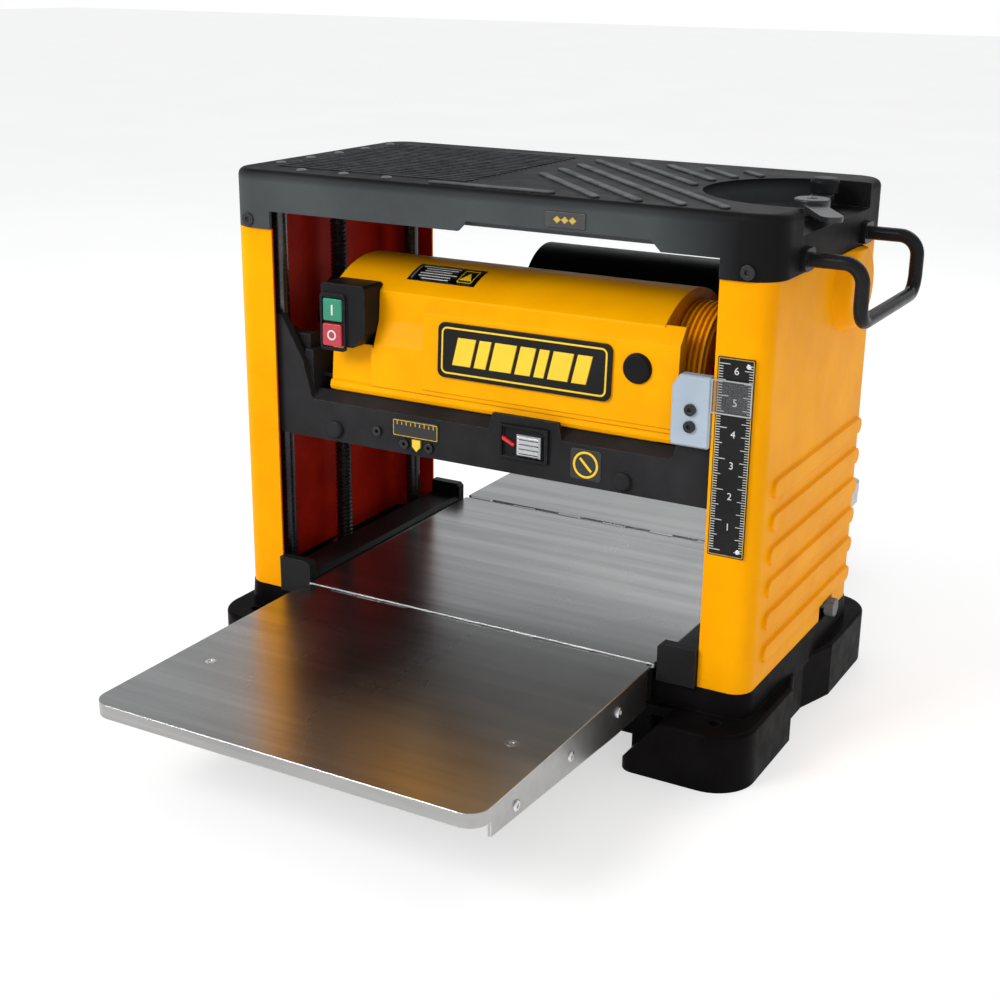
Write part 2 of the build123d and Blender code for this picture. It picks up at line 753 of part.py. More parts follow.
with BuildPart() as cutter_knives:
    with BuildSketch(Plane.YZ.offset(-knife_length / 2)):
        with Locations((0, cutter_z)):
            with PolarLocations(knife_radius - 5, knife_count, start_angle=90):
                Rectangle(10, 3.2)
        with Locations((0, cutter_z)):
            Circle(knife_radius, mode=Mode.INTERSECT)
            Circle(cutter_radius - 9, mode=Mode.SUBTRACT)
    extrude(amount=knife_length)
save(cutter_knives.part, "cutter_knives")


def pulley(y, z, radius, bore):
    """Ribbed belt pulley on a shaft along X."""
    with BuildPart() as wheel:
        with BuildSketch(Plane.YZ.offset(pulley_x)):
            with Locations((y, z)):
                Circle(radius)
                Circle(bore, mode=Mode.SUBTRACT)
        extrude(amount=pulley_width)
        for i in range(3):
            with BuildSketch(Plane.YZ.offset(pulley_x + 2 + 3 * i)):
                with Locations((y, z)):
                    Circle(radius)
                    Circle(radius - 1, mode=Mode.SUBTRACT)
            extrude(amount=1.6, mode=Mode.SUBTRACT)
    return wheel.part


save(pulley(0, cutter_z, cutter_pulley_radius, cutter_shaft_radius), "cutterhead_pulley")
save(pulley(motor_y, motor_z, motor_pulley_radius, motor_shaft_radius), "motor_pulley")

with BuildPart() as drive_belt:
    for grow, mode in ((2.2, Mode.ADD), (0.4, Mode.SUBTRACT)):
        with BuildSketch(Plane.YZ.offset(pulley_x + 1)):
            with Locations((0, cutter_z)):
                Circle(cutter_pulley_radius + grow)
            with Locations((motor_y, motor_z)):
                Circle(motor_pulley_radius + grow)
            make_hull()
        extrude(amount=pulley_width - 2, mode=mode)
save(drive_belt.part, "drive_belt")


def feed_roller(y):
    """Rubber sleeve of a feed roller, and its steel core with stub shafts and chain wheel."""
    with BuildPart() as sleeve:
        with BuildSketch(Plane.YZ.offset(-158)):
            with Locations((y, roller_z)):
                Circle(roller_radius)
                Circle(roller_shaft_radius + 4, mode=Mode.SUBTRACT)
        extrude(amount=316)
        chamfer(sleeve.edges().filter_by(GeomType.CIRCLE).group_by(SortBy.RADIUS)[-1], length=1)
    with BuildPart() as core:
        with BuildSketch(Plane.YZ.offset(-158)):
            with Locations((y, roller_z)):
                Circle(roller_shaft_radius + 4)
        extrude(amount=316)
        with BuildSketch(Plane.YZ.offset(-182)):
            with Locations((y, roller_z)):
                Circle(roller_shaft_radius)
        extrude(amount=182 + 188)
        with BuildSketch(Plane.YZ.offset(181)):
            with Locations((y, roller_z)):
                Circle(9.5)
                with PolarLocations(9.9, 12):
                    Circle(1.3, mode=Mode.SUBTRACT)
        extrude(amount=4)
    return sleeve.part, core.part


for y, name in ((-roller_y, "infeed_roller"), (roller_y, "outfeed_roller")):
    sleeve, core = feed_roller(y)
    save(sleeve, name)
    save(core, f"{name}_shaft")

with BuildPart() as feed_chain:
    for radius, mode in ((11.5, Mode.ADD), (9.9, Mode.SUBTRACT)):
        with BuildSketch(Plane.YZ.offset(181.4)):
            with Locations((-roller_y, roller_z), (roller_y, roller_z)):
                Circle(radius)
            make_hull()
        extrude(amount=3.2, mode=mode)
save(feed_chain.part, "feed_chain")

# ---------------------------------------------------------------- kickback pawls
pawl_y = -98.0
pawl_z = 236.0
pawl_drop = 23.0
pawl_count = 18
pawl_pitch = 17.0
with BuildPart() as pawl_rod:
    with BuildSketch(Plane.YZ.offset(-end_wall_inner)):
        with Locations((pawl_y, pawl_z)):
            Circle(3)
    extrude(amount=2 * end_wall_inner)
save(pawl_rod.part, "pawl_rod")

with BuildPart() as kickback_pawls:
    with BuildSketch(Plane.YZ.offset(-pawl_pitch * (pawl_count - 1) / 2 - 4)):
        with Locations((pawl_y, pawl_z)):
            Circle(5.2)
            Circle(3 + running_gap, mode=Mode.SUBTRACT)
    extrude(amount=pawl_pitch * (pawl_count - 1) + 8)
    for i in range(pawl_count):
        x = pawl_pitch * (i - (pawl_count - 1) / 2)
        with BuildSketch(Plane.YZ.offset(x - 2)):
            with BuildLine():
                Polyline(
                    (pawl_y - 4.5, pawl_z - 4),
                    (pawl_y + 4.5, pawl_z - 4),
                    (pawl_y + 3, pawl_z - pawl_drop),
                    (pawl_y - 2, pawl_z - pawl_drop + 4),
                    close=True,
                )
            make_face()
        extrude(amount=4)
save(kickback_pawls.part, "kickback_pawls")

# ---------------------------------------------------------------- motor
motor_half = 118.0
with BuildPart() as motor_housing:
    with BuildSketch(Plane.YZ.offset(-motor_half)):
        with Locations((motor_y, motor_z)):
            Circle(motor_radius)
    extrude(amount=2 * motor_half)
    with BuildSketch(Plane.YZ.offset(-motor_half + 8)):
        with Locations((motor_y, motor_z)):
            Circle(motor_radius - 6)
    extrude(amount=2 * motor_half - 16, mode=Mode.SUBTRACT)
    with BuildSketch(Plane.YZ.offset(-motor_half)):
        with Locations((motor_y, motor_z)):
            Circle(motor_shaft_radius + running_gap)
            with PolarLocations(24, 6):
                Circle(7)
    extrude(amount=2 * motor_half, mode=Mode.SUBTRACT)
    with BuildSketch(Plane.XY.offset(265.4)):
        with Locations((-80, motor_y), (80, motor_y)):
            Rectangle(24, 60)
    extrude(amount=4)
    with BuildSketch(Plane.YZ.offset(-motor_half + 8)):
        with Locations((motor_y, motor_z)):
            Circle(motor_radius - 6)
    extrude(amount=2 * motor_half - 16, mode=Mode.SUBTRACT)
save(motor_housing.part, "motor_housing")

with BuildPart() as motor_rotor:
    with BuildSketch(Plane.YZ.offset(pulley_x)):
        with Locations((motor_y, motor_z)):
            Circle(motor_shaft_radius)
    extrude(amount=-pulley_x + motor_half + 6)
    with BuildSketch(Plane.YZ.offset(-70)):
        with Locations((motor_y, motor_z)):
            Circle(27)
            with PolarLocations(27, 16):
                Rectangle(6, 2, mode=Mode.SUBTRACT)
    extrude(amount=110)
    with BuildSketch(Plane.YZ.offset(82)):
        with Locations((motor_y, motor_z)):
            Circle(33)
            with PolarLocations(24, 9):
                SlotOverall(15, 5, rotation=30, mode=Mode.SUBTRACT)
    extrude(amount=10)
save(motor_rotor.part, "motor_rotor")

# ---------------------------------------------------------------- motor cover
cover_left = -155.0
cover_right = 148.0
plinth_right = 165.0
cover_rear = 31.0
shell = 2.5
lip_z = 254.4

with BuildPart() as motor_cover:
    with BuildSketch(Plane.YZ.offset(-113)):
        with BuildLine():
            Polyline((-107, 262), (-112, 264), (-111, 300), (-103, 320), (-100, 262), close=True)
        make_face()
    extrude(amount=113 + plinth_right)
    with BuildSketch(Plane.YZ.offset(-62)):
        with BuildLine():
            Polyline((-107, 264), (-113, 268), (-110, 332), (-99, 345), (-98, 264), close=True)
        make_face()
    extrude(amount=62 + plinth_right)
    with BuildSketch(Plane.YZ.offset(cover_left)):
        with BuildLine():
            Polyline((-107, lip_z), (-111, 256), (-112, 259), (-111, 263), (-107, 265), close=True)
        make_face()
    extrude(amount=plinth_right - cover_left)
    with BuildSketch(Plane.YZ.offset(cover_right)):
        with Locations((-103, 290)):
            Rectangle(8, 68)
    extrude(amount=plinth_right - cover_right)
    for shrink, mode in ((0, Mode.ADD), (shell, Mode.SUBTRACT)):
        front = shrink - 101
        rear = cover_rear - shrink
        with BuildSketch(Plane.YZ.offset(cover_left + shrink)):
            with BuildLine():
                Polyline(
                    (rear, 322 - shrink),
                    (rear, lip_z),
                    (shrink - 108, lip_z),
                    (shrink - 108, 266),
                    (front, 344 - shrink),
                )
                ThreePointArc((front, 344 - shrink), (-52, 363 - shrink), (rear, 322 - shrink))
            make_face()
        extrude(amount=cover_right - cover_left - 2 * shrink, mode=mode)
    with BuildSketch(Plane.YZ.offset(cover_left)):
        with Locations((motor_y, motor_z)):
            Circle(16)
    extrude(amount=shell, mode=Mode.SUBTRACT)
    with BuildSketch(Plane.YZ.offset(cover_right - shell)):
        with Locations((motor_y, 308)):
            Circle(38)
    extrude(amount=shell, mode=Mode.SUBTRACT)
    with BuildSketch(Plane.XY.offset(lip_z)):
        with Locations((0, 0)):
            Rectangle(2 * end_wall_inner, 2 * 107.5)
    extrude(amount=265.7 - lip_z, mode=Mode.SUBTRACT)
    with BuildSketch(Plane.XZ.offset(120)):
        with Locations((-132, 324)):
            Rectangle(44, 54)
    extrude(amount=-24, mode=Mode.SUBTRACT)
    with BuildSketch(Plane.XZ.offset(120)):
        with Locations((131, 311)):
            Circle(12)
    extrude(amount=-24, mode=Mode.SUBTRACT)
save(motor_cover.part, "motor_cover")

fin_pitch = 4.5
fin_count = 6
vent_y = motor_y - 4
vent_z = 304.0
vent_bottom = 290.0
with BuildPart() as motor_vent:
    with BuildSketch(Plane.YZ.offset(cover_right + 0.2)):
        with Locations((vent_y, vent_z)):
            Circle(45)
            Circle(38, mode=Mode.SUBTRACT)
    extrude(amount=fin_pitch * fin_count + 1)
    for i in range(fin_count):
        with BuildSketch(Plane.YZ.offset(cover_right + 2 + fin_pitch * i)):
            with Locations((vent_y, vent_z)):
                Circle(50)
                Circle(24 if i == fin_count - 1 else 38, mode=Mode.SUBTRACT)
        extrude(amount=2)
    with BuildSketch(Plane.XY.offset(vent_bottom - 60)):
        with Locations((cover_right + 30, vent_y)):
            Rectangle(80, 120)
    extrude(amount=60, mode=Mode.SUBTRACT)
save(motor_vent.part, "motor_vent")

with BuildPart() as nameplate:
    with BuildSketch(Plane.YZ.offset(-46)):
        with BuildLine():
            Polyline((-112.6, 282), (-114.6, 282), (-112.4, 327), (-110.4, 327), close=True)
        make_face()
    extrude(amount=156)
    fillet(nameplate.edges().filter_by(lambda e: e.length < 5), radius=6)
save(nameplate.part, "nameplate")

# ---------------------------------------------------------------- switch, buttons
button_x = -141.0
start_z = 328.0
stop_z = 307.0
with BuildPart() as switch_box:
    with BuildSketch(Plane.XZ.offset(96)):
        with BuildLine():
            FilletPolyline(
                (-153.6, 297.4),
                (-122, 297.4),
                (-110.4, 310),
                (-110.4, 350),
                (-153.6, 350),
                radius=3,
                close=True,
            )
        make_face()
    extrude(amount=28)
    with BuildSketch(Plane.XZ.offset(123.9)):
        with Locations((button_x, (start_z + stop_z) / 2)):
            RectangleRounded(25, 48, 3)
            RectangleRounded(21.2, 42.4, 2, mode=Mode.SUBTRACT)
    extrude(amount=2.4)
    with BuildSketch(Plane.XZ.offset(124)):
        with Locations((button_x, start_z), (button_x, stop_z)):
            Rectangle(19.6, 19.6)
    extrude(amount=-7, mode=Mode.SUBTRACT)
save(switch_box.part, "switch_box")

for z, name in ((start_z, "start_button"), (stop_z, "stop_button")):
    with BuildPart() as button:
        with BuildSketch(Plane.XZ.offset(120.4)):
            with Locations((button_x, z)):
                RectangleRounded(19, 19, 1.5)
        extrude(amount=6.2 if z == start_z else 7.4)
        fillet(button.faces().sort_by(Axis.Y)[0].edges(), radius=1)
    save(button.part, name)

with BuildPart() as reset_button:
    with BuildSketch(Plane.XZ.offset(108)):
        with Locations((131, 311)):
            Circle(11.6)
    extrude(amount=6.4)
    fillet(reset_button.faces().sort_by(Axis.Y)[0].edges(), radius=2)
save(reset_button.part, "reset_button")

# ---------------------------------------------------------------- gauge, pointer, small trim
gauge_x = 40.0
gauge_z = 240.0
with BuildPart() as gauge_housing:
    with BuildSketch(Plane.XZ.offset(119)):
        with Locations((gauge_x, gauge_z)):
            Rectangle(44, 28)
    extrude(amount=2.9)
    with BuildSketch(Plane.XZ.offset(121.9)):
        with Locations((gauge_x, gauge_z)):
            Rectangle(44, 28)
            Rectangle(39, 24, mode=Mode.SUBTRACT)
    extrude(amount=3)
save(gauge_housing.part, "gauge_housing")

with BuildPart() as gauge_plate:
    with BuildSketch(Plane.XZ.offset(122.2)):
        with Locations((gauge_x + 5, gauge_z - 1.6)):
            Rectangle(22, 18)
    extrude(amount=4)
    chamfer(gauge_plate.faces().sort_by(Axis.Y)[0].edges(), length=1.5)
save(gauge_plate.part, "gauge_plate")

with BuildPart() as pointer_bracket:
    with BuildSketch(Plane.XZ.offset(-carriage_front)):
        with BuildLine():
            FilletPolyline(
                (169, 262),
                (199.4, 262),
                (199.4, 317),
                (174, 317),
                (168, 308),
                (168, 266),
                radius=2,
                close=True,
            )
        make_face()
    extrude(amount=9)
    chamfer(pointer_bracket.faces().sort_by(Axis.Y)[0].edges(), length=1.5)
    with BuildSketch(Plane.XZ.offset(-carriage_front)):
        with Locations((184, 278), (184, 291)):
            Circle(3.2)
    extrude(amount=9, mode=Mode.SUBTRACT)
save(pointer_bracket.part, "pointer_bracket")

with BuildPart() as pointer_lens:
    with BuildSketch(Plane.XZ.offset(129.2)):
        with Locations((215.4, 304)):
            RectangleRounded(31.9, 26, 1)
    extrude(amount=1.8)
save(pointer_lens.part, "pointer_lens")

with BuildPart() as indicator_pointer:
    with BuildSketch(Plane.XZ.offset(-carriage_front)):
        with BuildLine():
            Polyline((-65, 227), (-57, 227), (-57, 221), (-61, 217), (-65, 221), close=True)
        make_face()
    extrude(amount=2)
save(indicator_pointer.part, "indicator_pointer")

with BuildPart() as carriage_screws:
    with BuildSketch(Plane.XZ.offset(-carriage_front)):
        with Locations((-100, 229), (-73, 222), (-49, 222)):
            Circle(4)
            RegularPolygon(1.8, 6, mode=Mode.SUBTRACT)
    extrude(amount=2.4)
    with BuildSketch(Plane.XZ.offset(-carriage_front)):
        with Locations((184, 278), (184, 291)):
            Circle(3.2)
    extrude(amount=9)
    with BuildSketch(Plane.XZ.offset(-carriage_front + 9)):
        with Locations((184, 278), (184, 291)):
            Circle(4.6)
            RegularPolygon(2.2, 6, mode=Mode.SUBTRACT)
    extrude(amount=2)
save(carriage_screws.part, "carriage_screws")

# ---------------------------------------------------------------- chip hood and drive covers
hood_left = -46.0
hood_right = 162.0
hood_wall = 2.5
port_x = 112.0
port_z = 322.0
port_outer = 29.0
port_bore = 26.5
port_end = 133.0

with BuildPart() as chip_hood:
    with BuildSketch(Plane.XZ.offset(-105)):
        with Locations((port_x, port_z)):
            Circle(port_outer)
    extrude(amount=105 - port_end)
    for shrink, mode in ((0, Mode.ADD), (hood_wall, Mode.SUBTRACT)):
        front = 34 + shrink
        rear = 121 - shrink
        with BuildSketch(Plane.YZ.offset(hood_left + shrink)):
            with BuildLine():
                Polyline(
                    (rear - 9, 348 - shrink),
                    (rear, 290),
                    (rear, 265.6),
                    (front, 265.6),
                    (front, 340 - shrink),
                )
                ThreePointArc((front, 340 - shrink), (70, 364 - shrink), (rear - 9, 348 - shrink))
            make_face()
        extrude(amount=hood_right - hood_left - 2 * shrink, mode=mode)
    with BuildSketch(Plane.XZ.offset(-105)):
        with Locations((port_x, port_z)):
            Circle(port_bore)
    extrude(amount=105 - port_end, mode=Mode.SUBTRACT)
save(chip_hood.part, "chip_hood")

with BuildPart() as belt_cover:
    with BuildSketch(Plane.YZ.offset(-196.4)):
        with Locations((0, cutter_z)):
            Circle(cutter_pulley_radius + 8)
        with Locations((motor_y, motor_z)):
            Circle(motor_pulley_radius + 22)
        make_hull()
        with Locations((0, 210)):
            Rectangle(80, 20, mode=Mode.SUBTRACT)
    extrude(amount=40)
    with BuildSketch(Plane.YZ.offset(-194.4)):
        with Locations((0, cutter_z)):
            Circle(cutter_pulley_radius + 6)
        with Locations((motor_y, motor_z)):
            Circle(motor_pulley_radius + 20)
        make_hull()
    extrude(amount=40, mode=Mode.SUBTRACT)
    with BuildSketch(Plane.XY.offset(200)):
        with Locations((-160, 0)):
            Rectangle(36.6, 300)
    extrude(amount=89, mode=Mode.SUBTRACT)
save(belt_cover.part, "belt_cover")
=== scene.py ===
import json
import math

import bmesh
import bpy
from mathutils import Matrix, Vector


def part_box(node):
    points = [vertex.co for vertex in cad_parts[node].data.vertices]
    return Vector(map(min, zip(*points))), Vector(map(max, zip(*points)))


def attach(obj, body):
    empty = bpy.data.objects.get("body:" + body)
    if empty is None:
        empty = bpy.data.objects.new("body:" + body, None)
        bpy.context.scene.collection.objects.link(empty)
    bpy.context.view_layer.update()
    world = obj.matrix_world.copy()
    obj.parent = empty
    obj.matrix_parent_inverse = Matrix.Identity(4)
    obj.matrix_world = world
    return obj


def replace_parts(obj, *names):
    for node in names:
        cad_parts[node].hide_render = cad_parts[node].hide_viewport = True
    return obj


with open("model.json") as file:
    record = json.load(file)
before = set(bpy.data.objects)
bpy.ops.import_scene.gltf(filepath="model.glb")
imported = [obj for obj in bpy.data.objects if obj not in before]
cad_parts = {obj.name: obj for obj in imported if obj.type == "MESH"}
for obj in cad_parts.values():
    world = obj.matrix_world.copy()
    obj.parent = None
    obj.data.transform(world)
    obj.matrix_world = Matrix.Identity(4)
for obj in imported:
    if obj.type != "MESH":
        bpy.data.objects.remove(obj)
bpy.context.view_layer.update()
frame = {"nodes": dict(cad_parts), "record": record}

nodes = frame["nodes"]


# ---------------------------------------------------------------- materials
class Shader:
    """A node material on one Principled shader, in object coordinates."""

    def __init__(self, name):
        self.material = bpy.data.materials.new(name)
        self.material.use_nodes = True
        self.tree = self.material.node_tree
        self.bsdf = self.tree.nodes["Principled BSDF"]
        self.place = self.add("ShaderNodeTexCoord").outputs["Object"]

    def add(self, kind, **settings):
        node = self.tree.nodes.new(kind)
        for key, value in settings.items():
            setattr(node, key, value)
        return node

    def link(self, out, socket):
        self.tree.links.new(out, socket)

    def noise(self, scale, detail=3.0, stretch=(1, 1, 1)):
        mapping = self.add("ShaderNodeMapping")
        mapping.inputs["Scale"].default_value = stretch
        self.link(self.place, mapping.inputs["Vector"])
        noise = self.add("ShaderNodeTexNoise")
        noise.inputs["Scale"].default_value = scale
        noise.inputs["Detail"].default_value = detail
        noise.inputs["Roughness"].default_value = 0.55
        self.link(mapping.outputs["Vector"], noise.inputs["Vector"])
        return noise.outputs["Fac"]

    def cells(self, scale):
        cells = self.add("ShaderNodeTexVoronoi")
        cells.inputs["Scale"].default_value = scale
        self.link(self.place, cells.inputs["Vector"])
        return cells.outputs["Distance"]

    def span(self, value, low, high, to_low=0.0, to_high=1.0):
        node = self.add("ShaderNodeMapRange")
        limits = {"From Min": low, "From Max": high, "To Min": to_low, "To Max": to_high}
        for key, number in limits.items():
            node.inputs[key].default_value = number
        self.link(value, node.inputs["Value"])
        return node.outputs["Result"]

    def mix(self, fac, first, second):
        node = self.add("ShaderNodeMix", data_type="RGBA")
        self.link(fac, node.inputs["Factor"])
        for value, socket in ((first, node.inputs["A"]), (second, node.inputs["B"])):
            if isinstance(value, tuple):
                socket.default_value = (*value, 1.0)
            else:
                self.link(value, socket)
        return node.outputs["Result"]

    def times(self, first, second):
        node = self.add("ShaderNodeMath", operation="MULTIPLY")
        self.link(first, node.inputs[0])
        self.link(second, node.inputs[1])
        return node.outputs["Value"]

    def edges(self, radius):
        """Rounded normals, and a mask that is 1 along edges."""
        bevel = self.add("ShaderNodeBevel", samples=4)
        bevel.inputs["Radius"].default_value = radius
        dot = self.add("ShaderNodeVectorMath", operation="DOT_PRODUCT")
        self.link(bevel.outputs["Normal"], dot.inputs[0])
        self.link(self.add("ShaderNodeNewGeometry").outputs["Normal"], dot.inputs[1])
        return bevel.outputs["Normal"], self.span(dot.outputs["Value"], 0.99, 0.86)

    def bump(self, height, depth, normal=None):
        node = self.add("ShaderNodeBump")
        node.inputs["Distance"].default_value = depth
        self.link(height, node.inputs["Height"])
        if normal is not None:
            self.link(normal, node.inputs["Normal"])
        return node.outputs["Normal"]


def surface(name, dark, light, rough, metallic=0.0, patch=14, grain=1200, depth=0.00004,
            stretch=(1, 1, 1), spread=0.07, edge=None, wear=0.5, coat=0.0, radius=0.0008, shine=0.5):
    """A solid finish: uneven colour and gloss, fine grain, rounded edges and light wear on them."""
    s = Shader(name)
    patches = s.noise(patch, 6.0)
    grains = s.noise(grain, 2.0, stretch)
    colour = s.mix(s.span(patches, 0.36, 0.64), dark, light)
    normal, mask = s.edges(radius)
    if edge is not None:
        worn = s.times(mask, s.span(s.noise(160, 4.0), 0.42, 0.62, 0.0, wear))
        colour = s.mix(worn, colour, edge)
    dull = s.span(s.noise(patch * 5, 5.0, stretch), 0.3, 0.7, rough - spread, rough + spread)
    s.link(colour, s.bsdf.inputs["Base Color"])
    s.link(dull, s.bsdf.inputs["Roughness"])
    s.link(s.bump(grains, depth, normal), s.bsdf.inputs["Normal"])
    s.bsdf.inputs["Metallic"].default_value = metallic
    s.bsdf.inputs["Coat Weight"].default_value = coat
    s.bsdf.inputs["Coat Roughness"].default_value = 0.25
    s.bsdf.inputs["Specular IOR Level"].default_value = shine
    return s.material


def polished_sheet(name, lines):
    """Polished sheet steel with fine grinding lines, faint wipe marks, a few scratches, and a painted
    highlight along every edge.
    """
    s = Shader(name)
    wipes = s.noise(7, 5.0, (1.0, 0.5, 1.0))
    fine = s.noise(900, 3.0, lines)
    streak = s.span(s.noise(60, 4.0, lines), 0.40, 0.62)
    colour = s.mix(s.span(wipes, 0.35, 0.65), (0.33, 0.328, 0.325), (0.40, 0.397, 0.39))
    colour = s.mix(streak, colour, (0.45, 0.446, 0.44))
    normal, mask = s.edges(0.0012)
    # painted highlight: the edge mask paints every edge near white, for the bright line of light along the
    # table and bed edges
    colour = s.mix(mask, colour, (0.85, 0.85, 0.86))
    s.link(colour, s.bsdf.inputs["Base Color"])
    s.link(s.span(wipes, 0.3, 0.7, 0.23, 0.31), s.bsdf.inputs["Roughness"])
    s.link(s.bump(fine, 0.000006, normal), s.bsdf.inputs["Normal"])
    s.bsdf.inputs["Metallic"].default_value = 1.0
    return s.material


def clear_plastic(name, tint):
    s = Shader(name)
    haze = s.noise(25, 2.0)
    s.link(s.mix(s.span(haze, 0.3, 0.7), tint, (0.30, 0.32, 0.33)), s.bsdf.inputs["Base Color"])
    s.link(s.span(haze, 0.3, 0.7, 0.05, 0.16), s.bsdf.inputs["Roughness"])
    s.link(s.bump(s.noise(60, 2.0), 0.00002), s.bsdf.inputs["Normal"])
    s.bsdf.inputs["Alpha"].default_value = 0.12
    s.bsdf.inputs["IOR"].default_value = 1.46
    return s.material


def leather_grain(name, dark, light, rough, edge):
    """Moulded black plastic with a pebbled grain."""
    s = Shader(name)
    patches = s.noise(9, 6.0)
    normal, mask = s.edges(0.0009)
    colour = s.mix(s.span(patches, 0.35, 0.65), dark, light)
    colour = s.mix(s.times(mask, s.span(s.noise(120, 4.0), 0.4, 0.6, 0.1, 0.7)), colour, edge)
    s.link(colour, s.bsdf.inputs["Base Color"])
    s.link(s.span(s.noise(40, 5.0), 0.3, 0.7, rough - 0.06, rough + 0.08), s.bsdf.inputs["Roughness"])
    waves = s.bump(s.noise(300, 3.0), 0.00012, normal)
    s.link(s.bump(s.cells(1100), 0.00010, waves), s.bsdf.inputs["Normal"])
    s.bsdf.inputs["Specular IOR Level"].default_value = 0.1
    return s.material


def cover_finish():
    """Grained moulding in one black, with light and shade painted by height: dark deck, walls painted paler
    as lit faces, bar tops paler still as a painted highlight, and painted shade round the crank recess.
    Lengths in metres.
    """
    deck_low, deck_high = 0.4290, 0.4375
    bars_low, bars_high = 0.4388, 0.4396
    crank_left, crank_right = 0.150, 0.215
    s = Shader("grained_cover_moulding")
    normal, mask = s.edges(0.0009)
    patches = s.noise(9, 6.0)
    deck = s.mix(s.span(patches, 0.35, 0.65), (0.006, 0.0055, 0.006), (0.012, 0.011, 0.012))
    # painted light: the walls are the same black moulding, painted paler as faces lit from the front
    painted_lit_wall = s.mix(s.span(patches, 0.35, 0.65), (0.050, 0.056, 0.058), (0.068, 0.076, 0.078))
    # painted highlight: the tops of the raised bars are painted paler
    bars = s.mix(s.span(s.noise(60, 4.0), 0.35, 0.65), (0.060, 0.066, 0.067), (0.11, 0.12, 0.121))
    split = s.add("ShaderNodeSeparateXYZ")
    s.link(s.place, split.inputs["Vector"])
    height = split.outputs["Z"]
    colour = s.mix(s.span(height, deck_low, deck_high), painted_lit_wall, deck)
    colour = s.mix(s.span(height, bars_low, bars_high), colour, bars)
    # painted shade: round the crank, below the bar tops, the moulding is painted nearly black for the shade
    # in the recess
    shaded = s.span(split.outputs["X"], crank_left, crank_right)
    below_bars = s.span(height, 0.4386, 0.4380)
    colour = s.mix(s.times(shaded, below_bars), colour, (0.010, 0.0095, 0.010))
    worn = s.times(mask, s.span(s.noise(120, 4.0), 0.4, 0.6, 0.1, 0.6))
    colour = s.mix(worn, colour, (0.11, 0.115, 0.12))
    s.link(colour, s.bsdf.inputs["Base Color"])
    s.link(s.span(s.noise(40, 5.0), 0.3, 0.7, 0.36, 0.50), s.bsdf.inputs["Roughness"])
    waves = s.bump(s.noise(300, 3.0), 0.00010, normal)
    s.link(s.bump(s.cells(1100), 0.00010, waves), s.bsdf.inputs["Normal"])
    s.bsdf.inputs["Specular IOR Level"].default_value = 0.03
    return s.material


